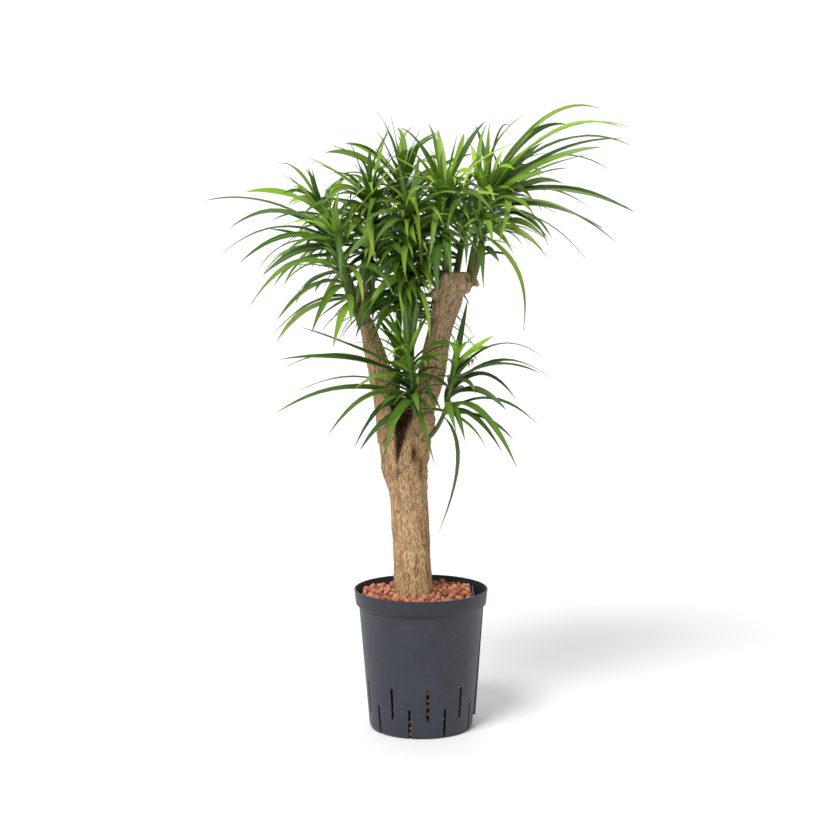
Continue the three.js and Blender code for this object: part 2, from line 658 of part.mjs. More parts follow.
/** Marks a leaf's cells if it is clear of all others, and says whether it was. */
function settles(leaf, owner, marked) {
  const own = 1 << owner;
  const others = marked ? ~own & ~(1 << CLEARING_OWNER) : ~own;
  const points = bladePoints(leaf, ROOT_CLEAR);
  const outer = bladePoints(leaf, CROWDED);
  const meetsOthers = [...points.keys()].some((cell) => (nearCells.get(cell) ?? 0) & others);
  const meetsOwn = [...outer.keys()].some((cell) => (bladeCells.get(cell) ?? 0) & own);
  if (meetsOthers || meetsOwn) {
    return false;
  }
  markAround(points.values(), owner);
  for (const cell of points.keys()) {
    mark(bladeCells, cell, owner);
  }
  return true;
}

/** The leaf, turned about its root and then shortened until it is clear; null if it never is. */
function placeLeaf({ root, bend, tip, width, roll, blade, marked }, owner, shares, turns) {
  for (const share of shares) {
    for (const degrees of turns) {
      const move = (point) => point.clone().sub(root).multiplyScalar(share)
        .applyAxisAngle(UP, THREE.MathUtils.degToRad(degrees)).add(root);
      const leaf = leafOf(root, move(bend), move(tip), width, roll, blade);
      if (settles(leaf, owner, marked)) {
        return leaf;
      }
    }
  }
  return null;
}

/** A leaf given by its tip and by how far it arches away from the straight line to it. */
function markedLeaf(stem, [place, x, y, z, lift, fullWidth, aside = 0], draw) {
  const root = stem.curve.getPoint(place * LAST_LEAF);
  const tip = new THREE.Vector3(x, y, z);
  const bend = root.clone().lerp(tip, 0.5).add(new THREE.Vector3(aside, 0, lift));
  const width = fullWidth * MARKED_WIDTH;
  return { root, bend, tip, width, roll: draw(-0.3, 0.3), blade: LONG_BLADE, marked: true };
}

/** A leaf placed by rule: the oldest at the bottom hang, the youngest at the tip stand up. */
function ruleLeaf(stem, { bare, leaves, reach, oldest }, index, draw) {
  const share = 1 - (index + 0.5) / leaves;
  const age = oldest * share;
  const place = bare + (0.99 - bare) * (1 - share ** 1.2);
  const root = stem.curve.getPoint(place);
  const run = stem.curve.getTangent(place);
  const across = new THREE.Vector3(1, 0, 0).projectOnPlane(run).normalize();
  const out = across.applyAxisAngle(run, index * GOLDEN_ANGLE + draw(-0.5, 0.5));
  const spread = THREE.MathUtils.degToRad(16 + 66 * age ** 0.6 + draw(-18, 18));
  const length = reach * (0.78 + 0.38 * age ** 0.5) * draw(0.62, 1.24);
  const sag = (0.8 + 1.35 * age ** 0.6) * draw(0.4, 1.6);
  const lean = new THREE.Vector3(stem.curve.v2.x, stem.curve.v2.y, 0).divideScalar(LEAN_RADIUS);
  const start = run.clone().multiplyScalar(Math.cos(spread))
    .addScaledVector(out, Math.sin(spread)).add(lean).normalize();
  const end = start.clone().addScaledVector(UP, -sag)
    .addScaledVector(run.clone().cross(out), draw(-0.8, 0.8)).normalize();
  const bend = root.clone().addScaledVector(start, length * 0.52);
  const tip = bend.clone().addScaledVector(end, length * 0.48);
  const width = LEAF_WIDTH * draw(0.7, 1.25) * (0.75 + 0.25 * Math.min(1, age * 3));
  return { root, bend, tip, width, roll: draw(-0.35, 0.35), blade: BLADE, marked: false };
}

/** Keeps the leaves clear of the trunk. */
function markTrunk() {
  for (const stations of [BOLE, LEFT_LIMB, RIGHT_LIMB]) {
    const centres = stations.map(([x, y, z]) => new THREE.Vector3(x, y, z));
    const points = roundPoints(centres, stations.map(([, , , halfWidth]) => halfWidth));
    markAround(points.values(), TRUNK_OWNER);
  }
  for (const { from, to, radius } of STUBS) {
    const points = roundPoints([new THREE.Vector3(...from), new THREE.Vector3(...to)], radius);
    markAround(points.values(), TRUNK_OWNER);
  }
}

/** Keeps the leaves placed by rule out of the clearings. */
function markClearings() {
  const half = CELL / 2;
  for (const [low, high] of CLEARINGS) {
    for (let x = low[0] + half; x < high[0]; x += CELL) {
      for (let y = low[1] + half; y < high[1]; y += CELL) {
        for (let z = low[2] + half; z < high[2]; z += CELL) {
          mark(nearCells, cellOf(new THREE.Vector3(x, y, z)), CLEARING_OWNER);
        }
      }
    }
  }
}

/** All shoots with their leaves: the marked ones first, then the rest in turn, one for each shoot. */
function growShoots() {
  const grown = SHOOTS.map((shoot, owner) => {
    const stem = stemOf(shoot);
    const places = [0, 0.2, 0.4, 0.6, 0.8, 1];
    const centres = places.map((place) => stem.curve.getPoint(place));
    const points = roundPoints(centres, places.map((place) => stemRadius(stem, place)));
    markAround(points.values(), owner);
    return { shoot, stem, draw: draws(shoot.seed), leaves: [] };
  });
  grown.forEach(({ shoot, stem, draw, leaves }, owner) => {
    for (const marked of shoot.marked) {
      leaves.push(placeLeaf(markedLeaf(stem, marked, draw), owner, [1], FEW_TURNS));
    }
  });
  const most = Math.max(...SHOOTS.map(({ leaves }) => leaves));
  for (let index = 0; index < most; index++) {
    grown.forEach(({ shoot, stem, draw, leaves }, owner) => {
      if (index < shoot.leaves) {
        leaves.push(placeLeaf(ruleLeaf(stem, shoot, index, draw), owner, SHORTER, TURNS));
      }
    });
  }
  return grown;
}

// ---------------------------------------------------------------------------------------------
// The object
// ---------------------------------------------------------------------------------------------

markTrunk();
markClearings();
const shoots = growShoots();
const plant = new THREE.Group();
plant.name = "potted_song_of_india";
plant.add(piece("pot", makePot(), POT_COLOUR, 0.55));
plant.add(piece("clay_granules", makeClay(), CLAY_COLOUR, 0.95));
plant.add(piece("trunk", makeTrunk(shoots.map(({ stem }) => stem)), WOOD_COLOUR, 0.9));
for (const { shoot, stem, leaves } of shoots) {
  let solid = stemSolid(stem);
  for (const leaf of leaves.filter((grownLeaf) => grownLeaf !== null)) {
    solid = solid.add(bladeSolid(leaf));
  }
  plant.add(piece(shoot.name, solid, LEAF_COLOUR, 0.45));
}

export default plant;
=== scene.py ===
# %% [markdown]
# # A potted song of india
#
# The plant is a green-leaved song of india, Dracaena reflexa, grown in clay granules: a thick old
# trunk was sawn back to two limbs, and new leafy shoots grew out of the cuts. It stands in the
# slotted plastic pot that such plants are sold in. This lesson dresses the solid model: each cell
# builds one piece out of mesh operators, or one finish out of shader nodes.
#
# The solid model is loaded first. It fixes where everything is, so no piece needs fitting by eye.

# %% Load the solid model
import math
import random

import bmesh
import bpy
import numpy as np
from mathutils import Matrix, Vector, noise


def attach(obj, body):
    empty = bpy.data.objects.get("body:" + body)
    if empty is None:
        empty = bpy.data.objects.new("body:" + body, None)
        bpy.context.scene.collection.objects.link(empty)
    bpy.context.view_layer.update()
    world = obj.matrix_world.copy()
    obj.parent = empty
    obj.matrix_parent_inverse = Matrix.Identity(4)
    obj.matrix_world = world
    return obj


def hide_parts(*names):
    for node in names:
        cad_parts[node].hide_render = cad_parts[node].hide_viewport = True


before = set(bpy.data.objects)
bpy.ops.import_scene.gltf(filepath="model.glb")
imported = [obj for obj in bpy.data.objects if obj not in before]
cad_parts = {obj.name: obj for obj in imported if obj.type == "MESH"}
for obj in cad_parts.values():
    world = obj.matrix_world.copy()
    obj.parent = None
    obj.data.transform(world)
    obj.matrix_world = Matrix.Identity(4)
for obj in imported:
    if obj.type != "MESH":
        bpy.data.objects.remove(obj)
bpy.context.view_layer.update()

MM = 0.001
print("nodes of the solid model:", len(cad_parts))

# %% [markdown]
# ## From a bmesh to a piece
#
# Plants and pots are easier to think about in millimetres, but Blender and the solid model count in
# metres. So every mesh is built in millimetres and scaled once, when it becomes an object. The
# object itself stays at the origin, unturned, and its place is in its mesh.

# %% Helpers
def verts_in(parts):
    return [part for part in parts if isinstance(part, bmesh.types.BMVert)]


def edges_in(parts):
    return [part for part in parts if isinstance(part, bmesh.types.BMEdge)]


def add_line(bm, points):
    """Corners and edges of an open line through points."""
    corners = [bm.verts.new(point) for point in points]
    return corners, [bm.edges.new(pair) for pair in zip(corners, corners[1:])]


def smooth(bm):
    for face in bm.faces:
        face.smooth = True


def to_mesh(name, bm):
    mesh = bpy.data.meshes.new(name)
    bm.to_mesh(mesh)
    bm.free()
    return mesh


def make_object(name, bm, *finishes):
    """Object of a bmesh in millimetres, with the finishes as its material slots."""
    bmesh.ops.scale(bm, vec=(MM, MM, MM), verts=bm.verts)
    mesh = to_mesh(name, bm)
    for finish in finishes:
        mesh.materials.append(finish.material)
    made = bpy.data.objects.new(name, mesh)
    bpy.context.scene.collection.objects.link(made)
    return made


def dress(piece, node):
    """The piece stands for a node of the solid model: it hangs from the root body, and the node is
    hidden.
    """
    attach(piece, "root")
    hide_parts(node)
    print(piece.name, len(piece.data.polygons), "faces")


def freeze(piece):
    """Applies the piece's modifiers."""
    graph = bpy.context.evaluated_depsgraph_get()
    mesh = bpy.data.meshes.new_from_object(piece.evaluated_get(graph))
    piece.modifiers.clear()
    piece.data = mesh


# %% [markdown]
# ## Shader maths as plain sums
#
# A finish is a recipe: noise times this, plus that, into a ramp. Written as node calls it is hard to
# read, so a small class wraps a node's output and lets +, - and * add the Math nodes. Every other
# node comes from one method. Numbers that are the same all over go straight onto the shader.

# %% Values and finishes
class Value:
    """The output of a shader node. Sums and products of values add Math nodes."""

    def __init__(self, finish, socket):
        self.finish = finish
        self.socket = socket

    def math(self, operation, *inputs):
        settings = {"operation": operation}
        return self.finish.node("ShaderNodeMath", settings, dict(enumerate(inputs)))

    def __add__(self, other):
        return self.math("ADD", self, other)

    def __sub__(self, other):
        return self.math("SUBTRACT", self, other)

    def __mul__(self, other):
        return self.math("MULTIPLY", self, other)

    def __rsub__(self, other):
        return self.math("SUBTRACT", other, self)

    def __abs__(self):
        return self.math("ABSOLUTE", self)

    __radd__ = __add__
    __rmul__ = __mul__


class Finish:
    """A material with one Principled shader, and the nodes that feed it."""

    def __init__(self, name, fixed):
        self.material = bpy.data.materials.new(name)
        self.material.use_nodes = True
        self.tree = self.material.node_tree
        self.shader = self.tree.nodes["Principled BSDF"]
        for socket, value in fixed.items():
            self.shader.inputs[socket].default_value = value

    def feed(self, socket, value):
        if isinstance(value, Value):
            self.tree.links.new(value.socket, socket)
        else:
            socket.default_value = value

    def node(self, kind, settings=None, inputs=None, output=0):
        """Adds a node: its settings first, then the values or links of its sockets."""
        made = self.tree.nodes.new(kind)
        for setting, value in (settings or {}).items():
            if setting == "stops":
                self.set_stops(made.color_ramp, value)
            else:
                setattr(made, setting, value)
        for name, value in (inputs or {}).items():
            self.feed(made.inputs[name], value)
        return Value(self, made.outputs[output])

    def set_stops(self, ramp, stops):
        while len(ramp.elements) < len(stops):
            ramp.elements.new(1.0)
        for element, (place, colour) in zip(ramp.elements, stops):
            element.position = place
            element.color = colour

    def place(self):
        return self.node("ShaderNodeTexCoord", output="Object")

    def parts(self, vector):
        """The three components of a vector."""
        split = self.node("ShaderNodeSeparateXYZ", None, {"Vector": vector})
        return [Value(self, socket) for socket in split.socket.node.outputs]

    def attribute(self, name, output="Fac"):
        return self.node("ShaderNodeAttribute", {"attribute_name": name}, output=output)

    def stretched(self, vector, scale):
        """The vector multiplied axis by axis, in patterns per metre."""
        return self.node("ShaderNodeVectorMath", {"operation": "MULTIPLY"}, {0: vector, 1: scale})

    def noise(self, vector, scale, detail=3.0, roughness=0.55):
        inputs = {"Vector": vector, "Scale": scale, "Detail": detail, "Roughness": roughness}
        return self.node("ShaderNodeTexNoise", None, inputs)

    def stretched_noise(self, vector, across, along, detail=3.0, roughness=0.55):
        """Noise with its patterns per metre across the third axis and along it."""
        stretched = self.stretched(vector, (across, across, along))
        return self.noise(stretched, 1.0, detail, roughness)

    def ramp(self, factor, *stops):
        return self.node("ShaderNodeValToRGB", {"stops": stops}, {"Fac": factor})

    def coats(self, colour, *layers):
        """The colour under layers, each given as how much of it shows and its own colour."""
        settings = {"data_type": "RGBA", "clamp_factor": True}
        for share, layer in layers:
            inputs = {0: share, 6: colour, 7: layer}
            colour = self.node("ShaderNodeMix", settings, inputs, output=2)
        return colour

    def steps(self, value, low, high):
        """0 below low, 1 above high, and a smooth step between them."""
        inputs = {"Value": value, "From Min": low, "From Max": high}
        return self.node("ShaderNodeMapRange", {"interpolation_type": "SMOOTHSTEP"}, inputs)

    def relief(self, height, distance, strength=1.0, under=None):
        """Bump of a height, whose full step is distance metres."""
        inputs = {"Height": height, "Distance": distance, "Strength": strength}
        if under is not None:
            inputs["Normal"] = under
        return self.node("ShaderNodeBump", None, inputs)

    def show(self, **links):
        """Feeds the shader: color, roughness and normal."""
        sockets = {"color": "Base Color", "roughness": "Roughness", "normal": "Normal"}
        for name, value in links.items():
            self.feed(self.shader.inputs[sockets[name]], value)


def paint(red, green, blue):
    """A colour as seen on a screen, 0 to 255, as the shader counts it."""
    def linear(share):
        return share / 12.92 if share <= 0.04045 else ((share + 0.055) / 1.055) ** 2.4
    return (*(linear(part / 255) for part in (red, green, blue)), 1.0)


# %% [markdown]
# ## Pot plastic
#
# The pot is injection-moulded polypropylene, slate grey with a satin face that has been rubbed on
# the nursery's benches. The colour hardly changes. What tells the eye that it is plastic is the
# soft, slightly uneven sheen, so most of the work goes into roughness: broad clouds of handling
# and fine upright scratches. The polished rim band is a little darker, and the crease under it is
# painted dark, as painted shade.

# %% Pot plastic
BAND_FOOT = 0.168


def make_plastic():
    finish = Finish("pot_plastic", {"IOR": 1.49, "Specular IOR Level": 0.45})
    place = finish.place()
    clouds = finish.noise(place, 22.0, 4.0)
    grain = finish.noise(place, 900.0, 2.0)
    scratch = finish.steps(finish.stretched_noise(place, 420.0, 26.0), 0.66, 0.72)
    dust = finish.steps(finish.noise(place, 60.0, 5.0, 0.7), 0.56, 0.8)
    over_foot = finish.parts(place)[2] - BAND_FOOT
    band = finish.steps(over_foot, -0.001, 0.001)
    # Painted shade: a narrow strip in the crease under the rim band.
    crease_shade = finish.steps(over_foot, -0.003, -0.0012) * finish.steps(over_foot, 0.0032, 0.001)
    colour = finish.coats(
        finish.ramp(clouds, (0.3, paint(41, 45, 54)), (0.7, paint(50, 54, 64))),
        (band * 0.45, paint(26, 28, 34)),
        # The crease under the band is painted near black, as painted shade.
        (crease_shade * 0.75, paint(18, 19, 23)),
        (scratch * 0.22, paint(124, 127, 136)),
        (dust * 0.16, paint(140, 126, 118)),
    )
    finish.show(
        color=colour,
        roughness=0.4 + clouds * 0.16 + scratch * 0.12,
        normal=finish.relief(grain * 0.3 + clouds, 0.0006, 0.35),
    )
    return finish


plastic = make_plastic()

# %% [markdown]
# ## The pot's shell
#
# A culture pot is a thin cone with a rounded heel, a collar-like rim band and a ring of drainage
# slots, one high and one low in turn. One way is to turn a full cone and cut the slots with
# Booleans, which leaves untidy faces. Here the outline is spun in uneven steps instead: one narrow
# step as wide as a slot, then the wall up to the next slot. The slots are then simply faces left
# out. Solidify gives the wall its thickness, and Bevel the small roundings that catch the light.

# %% Pot shell
WALL = 1.9
SLOT_COUNT = 17
SLOT_FIRST = math.radians(27.4)
SLOT_PITCH = math.radians(19.2)
SLOT_ANGLE = math.radians(2.75)
WALL_STEPS = 6
UPPER_SLOT = (25, 67)
LOWER_SLOT = (-1, 40)
OUTLINE = [
    (0, 0), (60, 0), (64, 0), (66.6, 0.6), (68.6, 2.2), (69.8, 5), (70.3, 8.5), (71.68, 25),
    (72.94, 40), (75.2, 67), (79.3, 116), (83.5, 166), (84.1, 167.2), (87.2, 169.6), (88, 171),
    (89.7, 187.4), (90, 190),
]


def spin_outline(bm, start, arcs):
    """Spins an outline through arcs of (angle, steps), all about Z, and closes it."""
    turn = Matrix.Rotation(start, 3, "Z")
    corners, edges = add_line(bm, [turn @ Vector((radius, 0, z)) for radius, z in OUTLINE])
    last = corners + edges
    for angle, steps in arcs:
        spun = bmesh.ops.spin(
            bm, geom=last, cent=(0, 0, 0), axis=(0, 0, 1), angle=angle, steps=steps)
        last = spun["geom_last"]
    bmesh.ops.remove_doubles(bm, verts=bm.verts, dist=0.01)
    bmesh.ops.recalc_face_normals(bm, faces=bm.faces)


def slot_of(face):
    """Number of the slot whose step of the spin the face lies in, or None."""
    middle = face.calc_center_median()
    turn = (math.atan2(middle.y, middle.x) - SLOT_FIRST + SLOT_ANGLE) % (2 * math.pi) - SLOT_ANGLE
    number = round(turn / SLOT_PITCH)
    at_slot = abs(turn - number * SLOT_PITCH) < SLOT_ANGLE / 2
    return number if at_slot and number < SLOT_COUNT else None


def is_open(face):
    number = slot_of(face)
    if number is None:
        return False
    middle = face.calc_center_median()
    low, high = UPPER_SLOT if number % 2 else LOWER_SLOT
    return low < middle.z < high and middle.xy.length > 60


def make_pot():
    bm = bmesh.new()
    slots = [(SLOT_ANGLE, 1), (SLOT_PITCH - SLOT_ANGLE, WALL_STEPS)] * (SLOT_COUNT - 1)
    shaft_side = 2 * math.pi - (SLOT_COUNT - 1) * SLOT_PITCH - SLOT_ANGLE
    arcs = slots + [(SLOT_ANGLE, 1), (shaft_side, 3 * WALL_STEPS)]
    spin_outline(bm, SLOT_FIRST - SLOT_ANGLE / 2, arcs)
    gaps = [face for face in bm.faces if is_open(face)]
    bmesh.ops.delete(bm, geom=gaps, context="FACES")
    smooth(bm)
    pot = make_object("pot_shell", bm, plastic)
    wall = pot.modifiers.new("wall", "SOLIDIFY")
    wall.thickness = WALL * MM
    wall.offset = -1
    wall.use_even_offset = True
    edges = pot.modifiers.new("edges", "BEVEL")
    edges.width = 0.35 * MM
    edges.segments = 2
    edges.limit_method = "ANGLE"
    edges.angle_limit = math.radians(40)
    edges.harden_normals = True
    freeze(pot)
    return pot


pot_shell = make_pot()
dress(pot_shell, "pot")

# %% [markdown]
# ## The gauge shaft
#
# On one side a flat partition closes off a narrow shaft for a water gauge, and a shallow rib runs
# down the outside where the shaft is. The partition starts as its outline, trimmed to the cone of
# the wall, and is extruded to its thickness. The rib is a four-sided ring stretched down the wall.

# %% Gauge shaft
SHAFT_X = 70
SHAFT_WALL = 1.6
SHAFT_TOP = 184
SHAFT_FOOT = 22
INTO_WALL = 0.8
RIB_FOOT = 16
RIB_HEAD = 165
RIB_SUNK = -1.4
RIB_HIGH_AT_FOOT = 3.0
RIB_HIGH_AT_HEAD = 0.8


def wall_radius(height):
    """Outer radius of the pot at a height."""
    heights = [z for _, z in OUTLINE[1:]]
    return float(np.interp(height, heights, [radius for radius, _ in OUTLINE[1:]]))


def make_partition():
    bm = bmesh.new()
    levels = [SHAFT_TOP, 171, 166, 116, 67, 40]
    outer = SHAFT_X + SHAFT_WALL
    halves = [math.sqrt((wall_radius(z) - INTO_WALL) ** 2 - outer**2) for z in levels]
    right = [(SHAFT_X, half, z) for half, z in zip(halves, levels)]
    left = [(SHAFT_X, -half, z) for half, z in zip(halves, levels)]
    corners = right + [(SHAFT_X, 0, SHAFT_FOOT)] + left[::-1]
    face = bm.faces.new([bm.verts.new(corner) for corner in corners])
    pushed = bmesh.ops.extrude_face_region(bm, geom=[face])["geom"]
    bmesh.ops.translate(bm, vec=(SHAFT_WALL, 0, 0), verts=verts_in(pushed))
    bmesh.ops.recalc_face_normals(bm, faces=bm.faces)
    edges = [edge for edge in bm.edges if edge.calc_face_angle(0) > 1.0]
    bmesh.ops.bevel(
        bm, geom=edges, offset=0.3, segments=2, profile=0.5, affect="EDGES", material=-1)
    return make_object("gauge_partition", bm, plastic)


def make_rib():
    bm = bmesh.new()
    ring = bmesh.ops.create_circle(bm, segments=4, radius=1)["verts"]
    sides = [(RIB_SUNK, -7), (RIB_SUNK, 7), (RIB_HIGH_AT_FOOT, 5.3), (RIB_HIGH_AT_FOOT, -5.3)]
    for corner, (out, across) in zip(ring, sides):
        corner.co = (wall_radius(RIB_FOOT) + out, across, RIB_FOOT)
    edges = list(bm.edges)
    bm.faces.new(ring)
    raised = bmesh.ops.extrude_edge_only(bm, edges=edges)["geom"]
    for corner in verts_in(raised):
        out = RIB_HIGH_AT_HEAD if corner.co.x > wall_radius(RIB_FOOT) else RIB_SUNK
        corner.co = (wall_radius(RIB_HEAD) + out, corner.co.y, RIB_HEAD)
    bmesh.ops.contextual_create(bm, geom=edges_in(raised))
    bmesh.ops.recalc_face_normals(bm, faces=bm.faces)
    bmesh.ops.bevel(
        bm, geom=bm.edges[:], offset=0.6, segments=3, profile=0.5, affect="EDGES", material=-1)
    smooth(bm)
    return make_object("gauge_rib", bm, plastic)


for piece in (make_partition(), make_rib()):
    dress(piece, "pot")

# %% [markdown]
# ## Clay granules
#
# Fired clay granules are lumpy brown-red pebbles of 5 to 11 mm, powdery outside, each fired a
# little differently. They are made one by one from a coarse sphere, squashed, turned and dented by
# noise, and scattered over the top in two layers. A random number for each granule, kept as an
# attribute of the mesh, gives it its own colour. Under them lies one solid body, so that no gap
# shows the inside of the pot, and a few granules stand behind each slot. The body's side has a
# number below zero, which paints it near black: painted shade, as dark as the shade in the gaps
# between granules.

# %% Clay finish
def make_clay_finish():
    finish = Finish("fired_clay", {"Specular IOR Level": 0.25})
    place = finish.place()
    tone = finish.attribute("granule")
    pores = finish.noise(place, 700.0, 4.0, 0.7)
    patches = finish.noise(place, 160.0, 3.0)
    fired = finish.ramp(
        tone * 0.75 + patches * 0.5 - 0.12,
        (0.0, paint(112, 66, 46)), (0.3, paint(172, 106, 78)),
        (0.7, paint(212, 142, 106)), (1.0, paint(232, 180, 146)),
    )
    colour = finish.coats(
        fired,
        (finish.steps(pores, 0.56, 0.36) * 0.45, paint(98, 58, 46)),
        # Painted shade: a tone below zero, on the bed's side, turns the clay near black.
        (finish.steps(tone, -0.2, -0.8), paint(16, 11, 9)),
    )
    lumps = finish.noise(place, 320.0, 2.0)
    rough = finish.relief(pores, 0.0007, 0.6)
    lumpy = finish.relief(lumps, 0.0012, 0.5, rough)
    finish.show(color=colour, roughness=0.86 + pores * 0.12, normal=lumpy)
    return finish


clay = make_clay_finish()

# %% Granules
BED_EDGE = 181
BED_CENTRE = 184.5
BED_UNDER = 4
GRANULE_SEED = 12
TRUNK_X = -10
TRUNK_RADIUS = 25
FILL_RADIUS = 83.5
# Each layer on top: depth of its granules, room for one of 7.5 mm, and the places tried.
LAYERS = ((3.4, 6.0, 5200), (-1.0, 7.4, 3000))
TOP_SIZES = (6.5, 11.0)
SLOT_SIZES = (5.5, 8.5)
TOP_TONE = 0.1
# Tone of the bed's side: below zero, which paints it near black as painted shade.
SIDE_SHADE_TONE = -1.0


def bed_height(radius):
    """Height of the fill's top at a distance from the pot's axis."""
    return BED_CENTRE + (BED_EDGE - BED_CENTRE) * radius / FILL_RADIUS


def make_master_granule():
    bm = bmesh.new()
    bm.verts.layers.float.new("granule")
    bmesh.ops.create_uvsphere(bm, u_segments=8, v_segments=6, radius=0.5)
    smooth(bm)
    return to_mesh("master_granule", bm)


master_granule = make_master_granule()


def add_granule(bm, middle, size, draw):
    """One lumpy granule at a point: the master, squashed, turned and dented."""
    angle = draw.uniform(0, 6.28)
    axis = Vector((draw.uniform(-1, 1), draw.uniform(-1, 1), 1))
    squash = [draw.uniform(low, high) for low, high in ((0.9, 1.3), (0.65, 0.95), (0.6, 0.85))]
    shape = Matrix.Rotation(angle, 3, axis) @ Matrix.Diagonal(squash) * size
    tone = draw.random()
    layer = bm.verts.layers.float["granule"]
    first = len(bm.verts)
    bm.from_mesh(master_granule)
    bm.verts.ensure_lookup_table()
    for vert in bm.verts[first:]:
        out = shape @ vert.co
        vert.co = middle + out * (1 + 0.4 * noise.noise((middle + out) * 0.5))
        vert[layer] = tone


def spots_on_top(draw):
    """Middles and sizes of granules that don't crowd each other, layer by layer."""
    spots = []
    for depth, spacing, tries in LAYERS:
        layer = []
        for _ in range(tries):
            radius = FILL_RADIUS * math.sqrt(draw.random())
            angle = draw.uniform(0, 2 * math.pi)
            x, y = radius * math.cos(angle), radius * math.sin(angle)
            size = draw.uniform(*TOP_SIZES)
            near_trunk = math.hypot(x - TRUNK_X, y) < TRUNK_RADIUS + size * 0.3
            in_shaft = x > SHAFT_X - size / 2 - 0.5
            at_wall = radius > FILL_RADIUS - size * 0.4
            crowded = any(
                (x - a) ** 2 + (y - b) ** 2 < (spacing * (size + other) / 15) ** 2
                for a, b, other in layer)
            if not (near_trunk or in_shaft or at_wall or crowded):
                layer.append((x, y, size))
        for x, y, size in layer:
            height = bed_height(math.hypot(x, y)) - depth + draw.uniform(-0.9, 0.9)
            spots.append((Vector((x, y, height)), size))
    return spots


def spots_behind_slots(draw):
    spots = []
    for number in range(SLOT_COUNT):
        angle = SLOT_FIRST + number * SLOT_PITCH
        low, high = UPPER_SLOT if number % 2 else LOWER_SLOT
        height = max(low, 6)
        while height < high:
            size = draw.uniform(*SLOT_SIZES)
            radius = wall_radius(height) - WALL - size / 2 - draw.uniform(0.0, 2.2)
            lean = angle + draw.uniform(-1.5, 1.5) / radius
            spots.append((Vector((radius * math.cos(lean), radius * math.sin(lean), height)), size))
            height += size * draw.uniform(0.9, 1.9)
    return [spot for spot in spots if spot[0].x < SHAFT_X - 5]


def make_granules():
    draw = random.Random(GRANULE_SEED)
    bm = bmesh.new()
    bm.verts.layers.float.new("granule")
    spots = spots_on_top(draw) + spots_behind_slots(draw)
    for middle, size in spots:
        add_granule(bm, middle, size, draw)
    print(len(spots), "granules")
    return make_object("clay_granules_top", bm, clay)


def make_bed():
    """The body of the fill: turned, then cut flat along the shaft's partition."""
    bm = bmesh.new()
    layer = bm.verts.layers.float.new("granule")
    outline = [
        (0, 3), (60, 3), (64.5, 9), (69, 60), (77.5, 160),
        (79.5, BED_EDGE - BED_UNDER), (0, BED_CENTRE - BED_UNDER),
    ]
    corners, edges = add_line(bm, [(radius, 0, z) for radius, z in outline])
    bmesh.ops.spin(
        bm, geom=corners + edges, cent=(0, 0, 0), axis=(0, 0, 1), angle=2 * math.pi, steps=64,
        use_merge=True)
    bmesh.ops.remove_doubles(bm, verts=bm.verts, dist=0.01)
    cut = bmesh.ops.bisect_plane(
        bm, geom=bm.verts[:] + bm.edges[:] + bm.faces[:],
        plane_co=(SHAFT_X - 0.4, 0, 0), plane_no=(1, 0, 0), clear_outer=True)
    bmesh.ops.contextual_create(bm, geom=edges_in(cut["geom_cut"]))
    bmesh.ops.recalc_face_normals(bm, faces=bm.faces)
    for vert in bm.verts:
        on_top = vert.co.z > BED_EDGE - BED_UNDER - 1
        vert[layer] = TOP_TONE if on_top else SIDE_SHADE_TONE
    return make_object("clay_bed", bm, clay)


for piece in (make_granules(), make_bed()):
    dress(piece, "clay_granules")

# %% [markdown]
# ## Trunk
#
# The old wood is one lump where a bole and two limbs have grown into each other, with stubs where
# branches were sawn off. Separate tubes would meet in hard lines. So each limb is a circle extruded
# from station to station, all of them overlap, and a voxel remesh melts them into one skin fine
# enough to be carved by moving its points. The same stations give every point its own limb, so
# that the grain can run along that limb.

# %% Limbs
BOLE = [
    (-9, 0, 44, 17, 17), (-9, 0, 56, 22, 22), (-10, 0, 130, 25.5, 25), (-10, 0, 187, 26.5, 26),
    (-12, 0, 222, 25, 24.5), (-13, 0, 258, 25, 24), (-15, 0, 296, 24.4, 24), (-17, 0, 322, 25, 24),
    (-21, 0, 345, 29, 25), (-22, 0, 375, 33.5, 25.5), (-22, 0, 405, 34.5, 24), (-22, 1, 424, 30, 18),
    (-21, 0, 446, 14, 11),
]
LEFT_LIMB = [
    (-36, 2, 362, 13, 14), (-40, 3, 392, 17, 19), (-43, 5, 428, 17.5, 19), (-51, 7, 466, 16.4, 17),
    (-59, 9, 499, 15, 15.5), (-72, 11, 542, 11.5, 12), (-84, 12, 573, 10, 10.5), (-91, 12, 596, 9.6, 10),
]
RIGHT_LIMB = [
    (-12, 0, 362, 15, 16), (-7, -1, 395, 19, 20), (-2, -2, 430, 20, 20.5), (9, -3, 463, 19.4, 19.5),
    (16, -4, 490, 18, 18.5), (21, -5, 522, 16.6, 17.5), (29, -6, 554, 16.6, 17), (36, -6, 580, 19.6, 19),
    (43, -6, 602, 21.6, 20.5), (46, -6, 615, 19.5, 19),
]
LIMBS = [np.array(limb, float) for limb in (BOLE, LEFT_LIMB, RIGHT_LIMB)]
STUBS = [
    ((44, -7, 590), (74, -10, 606), (9, 7.5)),
    ((30, -10, 574), (13, -18, 590), (8, 5.5)),
    ((2, -4, 408), (11, -29, 424), (12, 8.5)),
    ((-84, 12, 572), (-72, 20, 600), (7, 6)),
]
LIMB_SIDES = 40
VOXEL = 1.5


